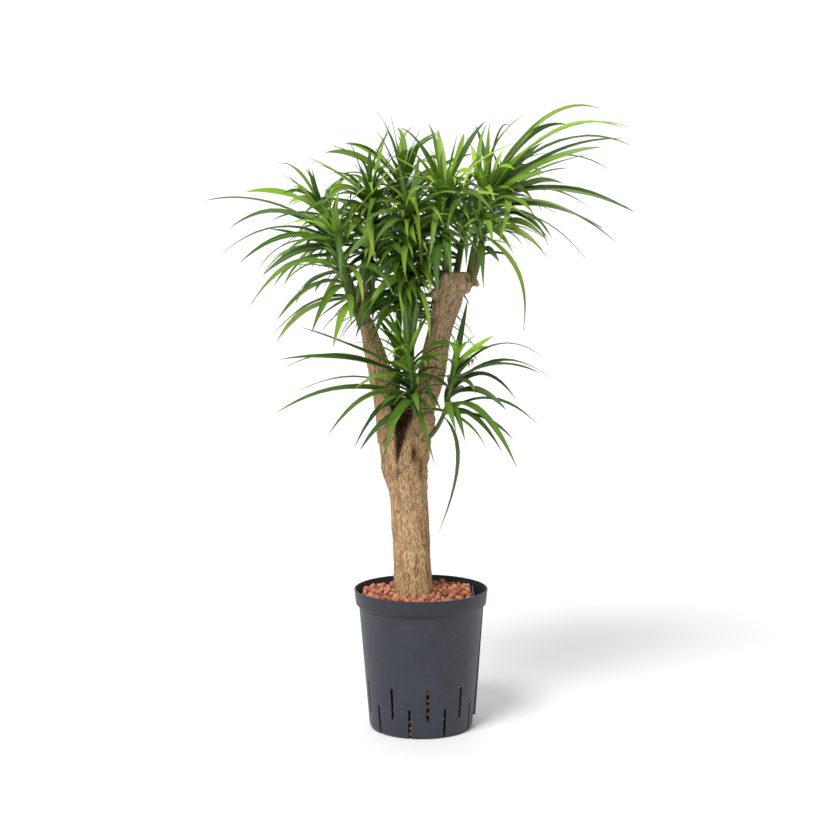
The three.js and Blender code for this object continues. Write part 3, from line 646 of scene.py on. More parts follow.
def smooth_stations(stations, step=4.0):
    """Stations every few millimetres of height, on smooth curves through the given ones."""
    heights = np.arange(stations[0, 2], stations[-1, 2] + step / 2, step)
    heights[-1] = stations[-1, 2]
    slopes = np.gradient(stations, stations[:, 2], axis=0)
    rows = []
    for height in heights:
        i = min(int(np.searchsorted(stations[:, 2], height, side="right")) - 1, len(stations) - 2)
        run = stations[i + 1, 2] - stations[i, 2]
        t = (height - stations[i, 2]) / run
        rows.append(
            (2 * t**3 - 3 * t**2 + 1) * stations[i] + (t**3 - 2 * t**2 + t) * run * slopes[i]
            + (3 * t**2 - 2 * t**3) * stations[i + 1] + (t**3 - t**2) * run * slopes[i + 1])
    return np.array(rows)


def add_tube(bm, sides, rings):
    """A circle extruded from ring to ring. Each ring is the matrix that puts a unit circle there."""
    made = bmesh.ops.create_circle(bm, segments=sides, radius=1, matrix=rings[0])["verts"]
    edges = list({edge for vert in made for edge in vert.link_edges})
    bm.faces.new(made)
    for before, ring in zip(rings, rings[1:]):
        grown = bmesh.ops.extrude_edge_only(bm, edges=edges)["geom"]
        edges, row = edges_in(grown), verts_in(grown)
        bmesh.ops.transform(bm, matrix=ring @ before.inverted(), verts=row)
        made = made + row
    bmesh.ops.contextual_create(bm, geom=edges)
    return made


def ring_at(middle, run, width, depth):
    """Matrix of a ring round a point, square to a direction."""
    turn = Vector(run).to_track_quat("Z", "Y").to_matrix().to_4x4()
    return Matrix.Translation(middle) @ turn @ Matrix.Diagonal((width, depth, 1, 1))


def limb_rings(stations):
    return [
        Matrix.Translation((x, y, z)) @ Matrix.Diagonal((width, depth, 1, 1))
        for x, y, z, width, depth in smooth_stations(stations)
    ]


def stub_rings(start, end, radii):
    start, end = Vector(start), Vector(end)
    shares = ((0, radii[0]), (0.5, sum(radii) / 2), (1, radii[1]))
    return [ring_at(start.lerp(end, share), end - start, radius, radius) for share, radius in shares]


def make_block():
    """The overlapping limbs and stubs, melted into one skin."""
    bm = bmesh.new()
    for stations in LIMBS:
        add_tube(bm, LIMB_SIDES, limb_rings(stations))
    for start, end, radii in STUBS:
        add_tube(bm, LIMB_SIDES, stub_rings(start, end, radii))
    bmesh.ops.recalc_face_normals(bm, faces=bm.faces)
    block = make_object("trunk_wood", bm)
    melt = block.modifiers.new("melt", "REMESH")
    melt.mode = "VOXEL"
    melt.voxel_size = VOXEL * MM
    ease = block.modifiers.new("ease", "SMOOTH")
    ease.factor = 0.5
    ease.iterations = 6
    freeze(block)
    return block


trunk = make_block()
print("trunk skin:", len(trunk.data.vertices), "points")

# %% [markdown]
# ## Carving the wood
#
# Points are moved along their normals by a sum of small depths: broad flutes and fine fissures that
# run along the grain, lumps, the collars where branches broke out, and the cleft that opens below
# the fork. Around the fork the wood is at its most rugged. Noise that is drawn out lengthwise makes
# the fissures. Each point's place from the middle of its limb is kept on the mesh, so the colours of
# the finish follow the carved grain.

# %% Carve
# Cleft: x, z and half width. Pit: x, z, half width, half height and depth. Collar: number of the
# limb, z, half height and how far it stands out. All in millimetres.
CLEFT = [(-32, 364, 1.8), (-30, 384, 3.2), (-27, 404, 6.5), (-25, 425, 9.5), (-24, 446, 11.0)]
CLEFT_DEPTH = 17.0
PITS = [(-9, 376, 3.4, 12, 7.0), (-31, 350, 4.0, 9, 4.4), (-20, 357, 4, 7, 2.4), (2, 350, 4, 8, 2.2)]
COLLARS = [
    (2, 588, 3.5, 1.6), (2, 562, 3.0, 0.8), (2, 470, 3.0, 0.8), (1, 470, 3.0, 0.8), (0, 330, 6.0, 0.8),
]
FORK = 385
RUGGED_REACH = 52
HOLLOW_SHADE_FULL = 6.0
FIST_FROM = 560
FIST_OVER = 24
FIST_OUT = 3.4


def limb_place(stations, point):
    """Place of a point across a limb, in radii, and the limb's middle and radii at its height."""
    height = min(max(point.z, stations[0, 2]), stations[-1, 2])
    x, y, width, depth = (np.interp(height, stations[:, 2], stations[:, i]) for i in (0, 1, 3, 4))
    return (point.x - x) / width, (point.y - y) / depth, x, y


def nearest_limb(point):
    """Number of the limb a point belongs to, and its place from the limb's middle in mm."""
    best = None
    for number, stations in enumerate(LIMBS):
        across, deep, x, y = limb_place(stations, point)
        beyond = max(stations[0, 2] - point.z, point.z - stations[-1, 2], 0) / 10
        distance = math.hypot(across, deep) + beyond
        if best is None or distance < best[0]:
            best = (distance, number, Vector((point.x - x, point.y - y, point.z)))
    return best[1], best[2]


def groove(point):
    """Depth of the cleft and of the pits in the front at a point."""
    if point.y > 4:
        return 0.0
    heights = [z for _, z, _ in CLEFT]
    depth = 0.0
    if CLEFT[0][1] - 4 < point.z < CLEFT[-1][1] + 10:
        x = np.interp(point.z, heights, [x for x, _, _ in CLEFT])
        half = np.interp(point.z, heights, [half for _, _, half in CLEFT])
        grown = min(1.0, (point.z - CLEFT[0][1] + 4) / 22)
        depth += CLEFT_DEPTH * grown * math.exp(-(((point.x - x) / half) ** 2))
    for x, z, half, tall, deep in PITS:
        depth += deep * math.exp(-(((point.x - x) / half) ** 2) - ((point.z - z) / tall) ** 2)
    return depth


def grained(place, across, along, shift=0):
    """Noise at a place, with as many lumps in a millimetre across the grain and along it."""
    return noise.noise(Vector((place.x * across, place.y * across, place.z * along + shift)))


def find_sawn_faces():
    """Middle, direction and radius of each sawn-off end."""
    faces = []
    for start, end, radii in STUBS:
        start, end = Vector(start), Vector(end)
        faces.append((end, (end - start).normalized(), radii[1]))
    for stations in LIMBS[1:]:
        faces.append((Vector(stations[-1, :3]), Vector((0, 0, 1)), stations[-1, 3]))
    return faces


def is_sawn(point, normal, sawn_faces):
    return any(
        (point - end).length < radius * 1.25 and abs((point - end).dot(run)) < 3
        and normal.dot(run) > 0.7
        for end, run, radius in sawn_faces)


def carve(trunk):
    """Moves the skin's points, and keeps each one's place in the grain, its painted shade and its cut.
    """
    mesh = trunk.data
    for name, kind in (("grain", "FLOAT_VECTOR"), ("hollow", "FLOAT"), ("cut", "FLOAT")):
        mesh.attributes.new(name, kind, "POINT")
    grain, hollow, cut = (mesh.attributes[name] for name in ("grain", "hollow", "cut"))
    normals = [vert.normal.copy() for vert in mesh.vertices]
    sawn_faces = find_sawn_faces()
    for vert, normal in zip(mesh.vertices, normals):
        point = vert.co / MM
        number, place = nearest_limb(point)
        sawn = is_sawn(point, normal, sawn_faces)
        flutes = grained(place, 0.07, 0.008, number * 9)
        ridges = grained(place, 0.2, 0.02, number * 5)
        fissures = min(abs(grained(place, 0.42, 0.05, number * 3)), 0.35)
        flakes = grained(place, 0.3, 0.16)
        lumps = noise.noise(point * 0.06)
        out = 1.6 * flutes + 1.0 * ridges + 1.3 * fissures + 0.5 * flakes + 0.9 * lumps - 0.3
        rugged = math.exp(-(((point.z - FORK) / RUGGED_REACH) ** 2))
        knots = grained(point, 0.09, 0.05)
        out += rugged * (1.8 * knots + 2.4 * ridges + 1.8 * fissures - 0.5)
        for owner, height, tall, high in COLLARS:
            if owner == number:
                out += high * math.exp(-(((point.z - height + 2 * flutes) / tall) ** 2))
        if sawn:
            out = 0.5 * flakes + 0.6 * lumps
        elif number == 2:
            swelling = min(1.0, max(0.0, (point.z - FIST_FROM) / FIST_OVER))
            out += FIST_OUT * grained(point, 0.15, 0.06) * swelling
        sunk = groove(point)
        out -= sunk
        vert.co += normal * out * MM
        grain.data[vert.index].vector = place * MM
        # Painted shade: full in the cleft and pits, and some where the carving sinks deep.
        hollow.data[vert.index].value = min(1.0, sunk / HOLLOW_SHADE_FULL) + 0.35 * max(0.0, -out - 0.6 - sunk)
        cut.data[vert.index].value = float(sawn)
    for face in mesh.polygons:
        face.use_smooth = True


carve(trunk)

# %% [markdown]
# ## Bark
#
# Old bark of this plant is corky and tan, broken by fine wavy cracks into small plates that are a
# little longer than wide. Around the fork it is a little browner, younger wood higher up is
# greyer, and sawn faces are pinkish and smoother. The cleft, the pits and the deep hollows are
# painted dark, as painted shade. A Voronoi pattern gives the distance to the nearest edge between
# plates. Its coordinates come from the mesh, squeezed along the limb and pushed about by noise, so
# that the plates follow the grain but no crack is straight.

# %% Bark finish
def make_bark():
    finish = Finish("bark", {"Specular IOR Level": 0.2})
    grain = finish.attribute("grain", "Vector")
    hollow = finish.attribute("hollow")
    cut = finish.attribute("cut")
    height = finish.parts(finish.place())[2]
    waves = {"Vector": grain, "Scale": 210.0, "Detail": 3.0}
    push = finish.stretched(finish.node("ShaderNodeTexNoise", None, waves, output="Color"), (2.6,) * 3)
    squeezed = finish.stretched(grain, (290.0, 290.0, 92.0))
    pushed = finish.node("ShaderNodeVectorMath", {"operation": "ADD"}, {0: squeezed, 1: push})
    nearest_edge = {"feature": "DISTANCE_TO_EDGE"}
    edges = finish.node("ShaderNodeTexVoronoi", nearest_edge, {"Vector": pushed, "Scale": 1.0})
    plates = finish.steps(edges, 0.0, 0.16)
    ridges = finish.stretched_noise(grain, 600.0, 150.0, 6.0, 0.72)
    streaks = finish.stretched_noise(grain, 170.0, 34.0, 4.0, 0.6)
    flakes = finish.stretched_noise(grain, 760.0, 300.0, 4.0, 0.65)
    patches = finish.stretched_noise(grain, 40.0, 22.0, 4.0, 0.6)
    corky = ridges * 0.7 + flakes * 0.3
    tan = finish.ramp(
        corky,
        (0.36, paint(122, 88, 56)), (0.44, paint(190, 148, 104)),
        (0.52, paint(234, 196, 148)), (0.68, paint(246, 226, 188)),
    )
    grey = finish.ramp(
        corky,
        (0.36, paint(104, 80, 54)), (0.46, paint(192, 160, 122)), (0.66, paint(236, 214, 178)),
    )
    wood = finish.ramp(
        flakes,
        (0.3, paint(206, 138, 106)), (0.55, paint(250, 190, 158)), (0.8, paint(255, 218, 190)),
    )
    greyness = finish.steps(height * 4.0 + patches, 2.1, 2.9)
    aged = height + patches * 0.08
    waist = finish.steps(aged, 0.26, 0.36) * finish.steps(aged, 0.54, 0.46)
    cracks = (1.0 - plates) * finish.steps(ridges, 0.62, 0.4)
    colour = finish.coats(
        tan,
        (greyness, grey),
        (finish.steps(patches, 0.5, 0.68) * 0.4, paint(150, 112, 78)),
        (waist * 0.18, paint(160, 122, 82)),
        (finish.steps(streaks, 0.5, 0.68) * 0.45, paint(140, 102, 66)),
        (finish.steps(streaks, 0.46, 0.32) * 0.3, paint(242, 210, 166)),
        (cracks * 0.7, paint(96, 66, 40)),
        (cut * 0.85, wood),
        # Painted shade in the cleft, the pits and the deep hollows.
        (hollow * 0.85, paint(62, 44, 28)),
    )
    fine = finish.relief(flakes, 0.0010, 0.7)
    ridged = finish.relief(ridges, 0.0022, 0.8, fine)
    cracked = finish.relief(plates, 0.0008, 0.8, ridged)
    finish.show(color=colour, roughness=0.82 + flakes * 0.15, normal=cracked)
    return finish


bark = make_bark()
trunk.data.materials.append(bark.material)
dress(trunk, "trunk")

# %% [markdown]
# ## Where the shoots and their leaves are
#
# The solid model grows each shoot by one rule: a stem on a curve, a few marked leaves that give the
# crown its outline, and many leaves spiralling up the stem by the golden angle, the old ones long
# and hanging, the young ones short and upright. A leaf that would cross another is turned about its
# root, or made shorter. The same rule with the same draws is followed here, so that every fine leaf
# lies on its solid one. NumPy's vectors are used, because the rule needs more exact numbers than
# Blender's own vectors keep.

# %% Shoots
# Each shoot: its name and the seed of its draws; foot, bend and tip of the stem's curve; the foot's
# radius; the share of the stem without leaves; the number of leaves by rule, their reach, and the age
# of the oldest; and the marked leaves: place on the stem, tip's x, y and z, lift of the arch, width,
# and how far the arch goes aside, if it does.
SHOOT_KEYS = (
    "name", "seed", "foot", "bend", "tip", "girth", "bare", "leaves", "reach", "oldest", "marked")
SHOOTS = [dict(zip(SHOOT_KEYS, row)) for row in (
    ("shoot_left_front", 11, (-86, 4, 566), (-92, -32, 600), (-112, -30, 668), 5, 0.5, 10, 112, 0.9, [
        (0.97, -101, -105, 592, 62, 11), (0.6, -124, -76, 550, 24, 12), (0.9, -262, -60, 636, 60, 9),
        (0.85, -233, -85, 627, 55, 9), (0.8, -196, -45, 672, 10, 15), (0.8, -204, -62, 612, 36, 14),
        (1, -137, -58, 696, 3, 11), (1, -101, -52, 690, 2, 9), (0.97, -25, -92, 752, 12, 8),
    ]),
    ("shoot_left_outer", 23, (-91, 10, 588), (-104, 6, 640), (-134, 4, 700), 5, 0.5, 9, 112, 0.85, [
        (0.7, -284, -20, 708, 42, 12), (0.95, -228, -40, 719, 25, 14), (0.92, -192, 20, 757, 45, 8),
        (1, -152, -5, 752, 12, 11), (0.97, -183, -22, 743, 14, 11), (0.6, -262, 40, 668, 70, 11),
        (0.95, -185, -40, 717, 30, 8), (1, -146, -45, 751, 6, 13),
    ]),
    ("shoot_left_low", 37, (-78, 0, 548), (-92, -38, 566), (-104, -52, 624), 4.5, 0.45, 8, 98, 1, [
        (0.9, -225, -70, 570, 76, 16), (0.8, -200, -110, 557, 40, 13), (0.62, -191, -60, 536, 30, 12),
        (0.75, -138, -130, 540, 40, 12),
    ]),
    ("shoot_left_back", 41, (-88, 20, 572), (-102, 58, 602), (-122, 74, 668), 5, 0.45, 15, 120, 0.85, [
        (0.6, -70, 60, 552, 50, 12), (0.7, -40, 60, 590, 50, 12), (0.5, -84, 40, 530, 40, 12),
    ]),
    ("shoot_left_inner", 53, (-74, 19, 596), (-64, 14, 640), (-66, -4, 716), 5, 0.4, 24, 130, 0.8, [
        (0.95, -118, -50, 742, 30, 11), (0.9, -96, -10, 790, 20, 10), (0.45, -100, -45, 562, 36, 11),
        (0.42, -62, -55, 548, 36, 12),
    ]),
    ("shoot_middle", 67, (-34, 12, 436), (-30, 44, 540), (-22, 24, 738), 5.5, 0.5, 32, 145, 0.85, [
        (0.95, -122, -15, 771, 42, 14), (0.97, -98, 5, 782, 38, 13), (1, -40, 10, 822, 5, 11),
        (0.98, -62, 30, 806, 15, 9), (0.6, -44, -40, 552, 60, 12), (0.55, -18, -30, 536, 50, 11),
        (0.62, -70, -20, 585, 60, 11), (0.5, -64, -30, 522, 44, 12), (0.5, 0, 50, 545, 40, 12),
        (0.52, -90, 20, 560, 50, 12),
    ]),
    ("shoot_middle_front", 71, (-16, 10, 417), (-10, 40, 540), (-14, -48, 692), 5, 0.56, 32, 135, 0.8, [
        (1, -2, -30, 768, 5, 10), (0.96, 0, -95, 640, 60, 12), (0.94, -50, -85, 655, 50, 11),
        (0.7, -30, -100, 585, 40, 12), (0.6, 10, -60, 560, 40, 11),
    ]),
    ("shoot_top", 83, (32, -2, 606), (34, -18, 650), (32, -28, 718), 5.5, 0.4, 24, 140, 0.8, [
        (0.98, -18, -60, 778, 8, 14), (1, 12, -50, 772, 4, 13), (1, 47, -40, 794, 8, 11),
        (0.9, -30, 0, 804, 45, 16), (0.92, -12, 25, 812, 40, 12), (0.9, 5, -100, 626, 70, 11),
        (0.99, 84, -25, 811, 25, 11), (0.99, 22, 5, 803, 12, 13),
    ]),
    ("shoot_right_top", 97, (62, -2, 598), (68, -8, 650), (86, -12, 722), 4.6, 0.5, 13, 145, 0.5, [
        (1, 274, -30, 801, 78, 17), (0.96, 279, -5, 778, 80, 14), (0.98, 238, 15, 828, 86, 8),
        (0.97, 182, -50, 805, 60, 15), (0.94, 196, 35, 809, 62, 10), (0.9, 272, 30, 790, 50, 9),
        (0.88, 233, -60, 776, 35, 12), (1, 90, 5, 812, 4, 11), (0.95, 117, -30, 800, 75, 8),
        (0.96, 66, 12, 780, 4, 14), (0.94, 157, -80, 813, 24, 15), (0.93, 258, -90, 797, 86, 12),
        (0.93, 270, 60, 750, 75, 8),
    ]),
    ("shoot_right_outer", 101, (56, 10, 588), (80, 24, 652), (104, 26, 722), 4.6, 0.6, 11, 140, 0.45, [
        (0.95, 280, -30, 692, 42, 16), (0.92, 262, 20, 652, 42, 14), (0.85, 236, -55, 672, 30, 16),
        (0.75, 221, -5, 628, 56, 15), (0.7, 178, -15, 658, 45, 10), (0.98, 176, 60, 730, 45, 9),
        (0.98, 270, -75, 697, 30, 13), (0.88, 205, -100, 684, 30, 13), (0.96, 231, 50, 697, 40, 9),
        (0.6, 165, -40, 660, 40, 12), (0.9, 96, -120, 650, 60, 12, 30), (0.9, 250, 50, 668, 32, 14),
    ]),
    ("shoot_right_front", 113, (66, -12, 600), (80, -36, 630), (76, -62, 676), 4, 0.42, 8, 105, 0.45, [
        (0.9, 129, -95, 538, 27, 9, 43), (0.75, 79, -110, 596, 40, 12), (0.95, 94, -110, 652, 45, 12),
        (0.55, 116, -60, 637, 8, 8),
    ]),
    ("shoot_right_back", 127, (44, 10, 600), (50, 46, 620), (62, 72, 690), 5.5, 0.42, 18, 135, 0.45, [
        (0.5, -4, 70, 585, 50, 12), (0.4, 10, 40, 552, 40, 12), (0.6, -22, 90, 610, 50, 12),
    ]),
    ("shoot_low_front", 131, (-6, -12, 424), (-6, -44, 434), (-16, -46, 506), 5, 0.26, 24, 108, 0.52, [
        (0.8, -186, -60, 503, 30, 12), (0.85, -158, -75, 548, 8, 17), (0.7, -182, -30, 489, 60, 9),
        (0.6, -165, -80, 461, 45, 8), (0.5, -191, -55, 432, 52, 13), (0.5, -122, -90, 405, 62, 13),
        (0.42, -88, -60, 386, 60, 9), (0.35, -52, -115, 364, 60, 12), (0.4, 19, -100, 366, 42, 10, -10),
        (0.95, 46, -90, 525, 25, 11), (1, -30, -60, 600, 6, 12), (0.98, -4, -80, 585, 10, 10),
        (1, -65, -45, 553, 5, 12), (0.98, -49, -70, 577, 5, 12), (1, -21, -90, 579, 4, 11),
        (0.98, 4, -50, 563, 6, 12),
    ]),
    ("shoot_low_right", 149, (4, -10, 392), (34, -22, 408), (46, -32, 500), 3.6, 0.48, 9, 105, 0.7, [
        (0.9, 161, -50, 504, 62, 10), (0.8, 178, -20, 470, 66, 10), (0.85, 156, -60, 485, 36, 12),
        (0.75, 128, 10, 443, 62, 10), (0.7, 111, -70, 438, 38, 13), (0.5, 156, -25, 413, 60, 8),
        (0.6, 125, -75, 363, 66, 14), (0.55, 107, -50, 380, 44, 9), (0.65, 57, -90, 400, 28, 11),
        (0.5, 19, -75, 270, 41, 6, 49), (0.7, 62, -10, 581, 4, 11), (0.97, 95, -45, 534, 6, 13),
    ]),
)]

# %% The rule's own values
LEAF_WIDTH = 8.8
MARKED_WIDTH = 0.82
MARKED_AGE = 0.55
LEAN_RADIUS = 350
LIGHT_TURN = 0.5
STEM_TAPER = 0.42
STEM_PLACES = np.array([0, 0.2, 0.4, 0.6, 0.8, 1])
LAST_LEAF = 0.98
LONG_BLADE = [(0.06, 0.38), (0.3, 0.96), (0.6, 0.9), (0.84, 0.48)]
BLADE = [(0.07, 0.38), (0.36, 1), (0.72, 0.74)]
CELL = 3
SAMPLE_STEP = 2.5
ROOT_CLEAR = 13
CROWDED = 28
SHORTER = [1, 0.8, 0.62]
TURNS = [0, 8, -8, 16, -16, 25, -25, 36, -36, 50, -50, 66, -66, 84, -84, 104, -104]
FEW_TURNS = [0, 4, -4, 8, -8, 14, -14, 20, -20, 30, -30]
GOLDEN_ANGLE = math.radians(137.508)
UP = np.array([0.0, 0.0, 1.0])

# %% Vectors and draws of the rule
def unit(vector):
    return vector / math.sqrt(float(vector @ vector))


def turned(vector, axis, angle):
    """The vector turned about a unit axis."""
    cos, sin = math.cos(angle), math.sin(angle)
    return vector * cos + np.cross(axis, vector) * sin + axis * (axis @ vector) * (1 - cos)


def on_curve(curve, places):
    """Points of a curve of three control points."""
    t = np.atleast_1d(places)[:, None]
    return (1 - t) ** 2 * curve[0] + 2 * (1 - t) * t * curve[1] + t**2 * curve[2]


def along_curve(curve, places, step=0.0001):
    """Unit directions of the curve."""
    t = np.atleast_1d(places)
    runs = on_curve(curve, np.minimum(t + step, 1)) - on_curve(curve, np.maximum(t - step, 0))
    return runs / np.linalg.norm(runs, axis=1)[:, None]


def draws(seed):
    """Seeded draws between two values, the same as the solid model's."""
    state = seed

    def draw(low, high):
        nonlocal state
        state = state * 48271 % 2147483647
        return low + (high - low) * (state / 2147483647)

    draw(0, 1)
    draw(0, 1)
    return draw


# %% [markdown]
# ## Keeping leaves apart
#
# Space is divided into 3 mm cells. Each cell remembers, as bits of one number, which shoots have
# something in it or next to it. A leaf is sampled into cells, and it may stay if no cell is taken.
# That is quick, and it is good enough for blades that are as thin as these. A few boxes of space
# are clearings, which only marked leaves may enter.

# %% Cells
SPACE_LOW = np.array([-140, -100, 0])
SPACE_SIZE = (280, 200, 320)
near_cells = np.zeros(SPACE_SIZE, np.int32)
blade_cells = np.zeros(SPACE_SIZE, np.int32)
TRUNK_BIT = 1 << len(SHOOTS)
CLEARING_BIT = TRUNK_BIT << 1
CLEARINGS = [
    ((39, -111, 621), (69, 111, 645)), ((15, -111, 534), (63, -24, 618)),
    ((-39, -111, 336), (36, -21, 408)), ((-9, -111, 405), (36, -33, 429)),
    ((75, -159, 519), (300, 201, 627)),
]


def cells_of(points):
    """The different cells that points lie in."""
    return np.unique(np.floor(points / CELL).astype(int) - SPACE_LOW, axis=0)


def mark(grid, cells, bit):
    grid[tuple(cells.T)] |= bit


def mark_around(cells, bit):
    for x in (-1, 0, 1):
        for y in (-1, 0, 1):
            for z in (-1, 0, 1):
                mark(near_cells, cells + (x, y, z), bit)


def blade_share(blade, places):
    """Share of a blade's full width at places along it."""
    stations = [(0, 0.3), *blade, (1, 0)]
    return np.interp(places, [place for place, _ in stations], [share for _, share in stations])


def blade_frames(leaf, places):
    """Points, sideways directions and face directions along a leaf."""
    runs = along_curve(leaf["curve"], places)
    reach = leaf["curve"][2] - leaf["curve"][0]
    heading = math.atan2(reach[1], reach[0])
    level = np.array([-math.sin(heading), math.cos(heading), 0.0])
    roll = leaf["roll"] + LIGHT_TURN * math.cos(heading)
    cos, sin = math.cos(roll), math.sin(roll)
    sides = level * cos + np.cross(runs, level) * sin + runs * (runs @ level)[:, None] * (1 - cos)
    return on_curve(leaf["curve"], places), sides, np.cross(runs, sides)


def blade_samples(leaf, start):
    """Cells of a blade's face from a distance along it to its tip."""
    root, bend, tip = leaf["curve"]
    length = math.dist(root, bend) + math.dist(bend, tip)
    steps = math.ceil(length / SAMPLE_STEP)
    places = np.arange(math.ceil(start / SAMPLE_STEP), steps + 1) / steps
    if not len(places):
        return np.zeros((0, 3), int)
    points, sides, _ = blade_frames(leaf, places)
    halves = leaf["width"] * blade_share(leaf["blade"], places) / 2
    across = np.array([-1, -0.6, -0.2, 0.2, 0.6, 1])
    samples = points[:, None] + sides[:, None] * (halves[:, None] * across)[:, :, None]
    return cells_of(samples.reshape(-1, 3))


def round_cells(centres, radii):
    """Cells that fill a round piece through centres, each with its radius."""
    samples = []
    for i in range(len(centres) - 1):
        steps = math.ceil(math.dist(centres[i], centres[i + 1]) / CELL)
        for step in range(steps + 1):
            centre = centres[i] + (centres[i + 1] - centres[i]) * step / steps
            radius = radii[i] + (radii[i + 1] - radii[i]) * step / steps
            row = np.arange(-radius, radius + 1e-9, CELL)
            x, y = (part.ravel() for part in np.meshgrid(row, row, indexing="ij"))
            inside = np.hypot(x, y) <= radius
            samples.append(centre + np.stack([x, y, 0 * x], axis=1)[inside])
    return cells_of(np.concatenate(samples))


def settles(leaf, owner, loose=False):
    """Marks a leaf's cells if it is clear of all others, and says whether it was.

    A loose leaf may come close to others, but not touch them.
    """
    own = 1 << owner
    others = ~own & ~CLEARING_BIT if leaf["marked"] else ~own
    cells = blade_samples(leaf, ROOT_CLEAR)
    outer = blade_samples(leaf, CROWDED)
    if loose:
        taken = (blade_cells[tuple(cells.T)] | near_wood[tuple(cells.T)]) & others
    else:
        taken = near_cells[tuple(cells.T)] & others
    if taken.any() or (blade_cells[tuple(outer.T)] & own).any():
        return False
    mark_around(cells, own)
    mark(blade_cells, cells, own)
    return True


# %% [markdown]
# ## Placing the leaves
#
# First the marked leaves of all shoots take their places, then the ruled ones in turn, one for each
# shoot. The real crown is denser than the solid model may be, so unopened leaves are added in the
# heart of each shoot, and then leaves between every two of the ruled ones, up to three in the dense
# middle of the crown. They only take room that is still free, and they may come close to others.

# %% Place the leaves
FILL_TURNS = TURNS + [125, -125, 150, -150, 180]
FILL_SHORTER = [1, 0.85, 0.7, 0.55]
FILL_FROM = 0.3
FILL_TOP = 815
FILL_FROM_OF = {
    "shoot_left_low": 0.7, "shoot_left_front": 0.5, "shoot_left_back": 0.5, "shoot_left_outer": 0.5,
    "shoot_middle": -0.12, "shoot_middle_front": -0.12, "shoot_left_inner": 0.1,
    "shoot_right_front": 0.6,
}
DENSE = {"shoot_middle", "shoot_middle_front", "shoot_top", "shoot_left_inner"}
HEART_LEAVES = 4


def make_leaf(curve, width, roll, blade, age, marked=False):
    return {
        "curve": np.array(curve), "width": width, "roll": roll, "blade": blade, "age": age,
        "marked": marked,
    }


def place_leaf(leaf, owner, shares, turns, loose=False):
    """The leaf, turned about its root and then shortened until it is clear; None if it never is."""
    root = leaf["curve"][0]
    for share in shares:
        for degrees in turns:
            moved = [root] + [
                turned((point - root) * share, UP, math.radians(degrees)) + root
                for point in leaf["curve"][1:]
            ]
            tried = {**leaf, "curve": np.array(moved)}
            if settles(tried, owner, loose):
                return tried
    return None


def marked_leaf(stem, mark_values, draw):
    """A leaf given by its tip and by how far it arches above the straight line to it."""
    place, x, y, z, lift, width, *aside = mark_values
    root = on_curve(stem, place * LAST_LEAF)[0]
    tip = np.array([x, y, z], float)
    bend = (root + tip) / 2 + UP * lift
    if aside:
        bend[0] += aside[0]
    roll = draw(-0.3, 0.3)
    width *= MARKED_WIDTH
    return make_leaf([root, bend, tip], width, roll, LONG_BLADE, MARKED_AGE, marked=True)


def rule_leaf(stem, shoot, index, draw):
    """A leaf placed by rule: the oldest at the bottom hang, the youngest at the tip stand up."""
    share = 1 - (index + 0.5) / shoot["leaves"]
    age = shoot["oldest"] * share
    place = shoot["bare"] + (0.99 - shoot["bare"]) * (1 - share**1.2)
    root = on_curve(stem, place)[0]
    run = along_curve(stem, place)[0]
    across = np.array([1.0, 0.0, 0.0])
    across = unit(across - run * (across @ run) / (run @ run))
    out = turned(across, run, index * GOLDEN_ANGLE + draw(-0.5, 0.5))
    spread = math.radians(16 + 66 * age**0.6 + draw(-18, 18))
    length = shoot["reach"] * (0.78 + 0.38 * age**0.5) * draw(0.62, 1.24)
    sag = (0.8 + 1.35 * age**0.6) * draw(0.4, 1.6)
    lean = stem[2] * (1.0, 1.0, 0.0) / LEAN_RADIUS
    start = unit(run * math.cos(spread) + out * math.sin(spread) + lean)
    end = unit(start - UP * sag + np.cross(run, out) * draw(-0.8, 0.8))
    bend = root + start * length * 0.52
    tip = bend + end * length * 0.48
    width = LEAF_WIDTH * draw(0.7, 1.25) * (0.75 + 0.25 * min(1, age * 3))
    return make_leaf([root, bend, tip], width, draw(-0.35, 0.35), BLADE, age)


def heart_leaf(stem, shoot, index, draw):
    """One of the youngest leaves, still upright around the growing tip."""
    run = along_curve(stem, 1.0)[0]
    root = on_curve(stem, 0.985)[0]
    across = unit(np.cross(run, [0.3, 1.0, 0.1]))
    out = turned(across, run, index * GOLDEN_ANGLE + draw(0, 1.5))
    spread = math.radians(4 + 6 * index + draw(0, 14))
    length = shoot["reach"] * draw(0.35, 0.62)
    start = unit(run * math.cos(spread) + out * math.sin(spread) + UP * 0.2)
    end = unit(start + out * draw(0.2, 1.0) - UP * draw(0, 0.7))
    bend = root + start * length * 0.55
    width = LEAF_WIDTH * draw(0.5, 0.75)
    return make_leaf([root, bend, bend + end * length * 0.45], width, draw(-0.4, 0.4), BLADE, 0.0)


def stem_of(shoot):
    """Curve of a shoot's stem."""
    return np.array([shoot["foot"], shoot["bend"], shoot["tip"]], float)


def mark_wood():
    """Marks the trunk, the clearings and the stems, before any leaf."""
    for stations in LIMBS:
        mark_around(round_cells(stations[:, :3], stations[:, 3]), TRUNK_BIT)
    for start, end, radii in STUBS:
        mark_around(round_cells(np.array([start, end], float), radii), TRUNK_BIT)
    for corners in CLEARINGS:
        (x0, y0, z0), (x1, y1, z1) = np.floor_divide(corners, CELL) - SPACE_LOW
        near_cells[x0:x1, y0:y1, z0:z1] |= CLEARING_BIT
    for owner, shoot in enumerate(SHOOTS):
        radii = shoot["girth"] * (1 - STEM_TAPER * STEM_PLACES)
        mark_around(round_cells(on_curve(stem_of(shoot), STEM_PLACES), radii), 1 << owner)


def count_leaves(grown):
    return sum(leaf is not None for *_, leaves in grown for leaf in leaves)


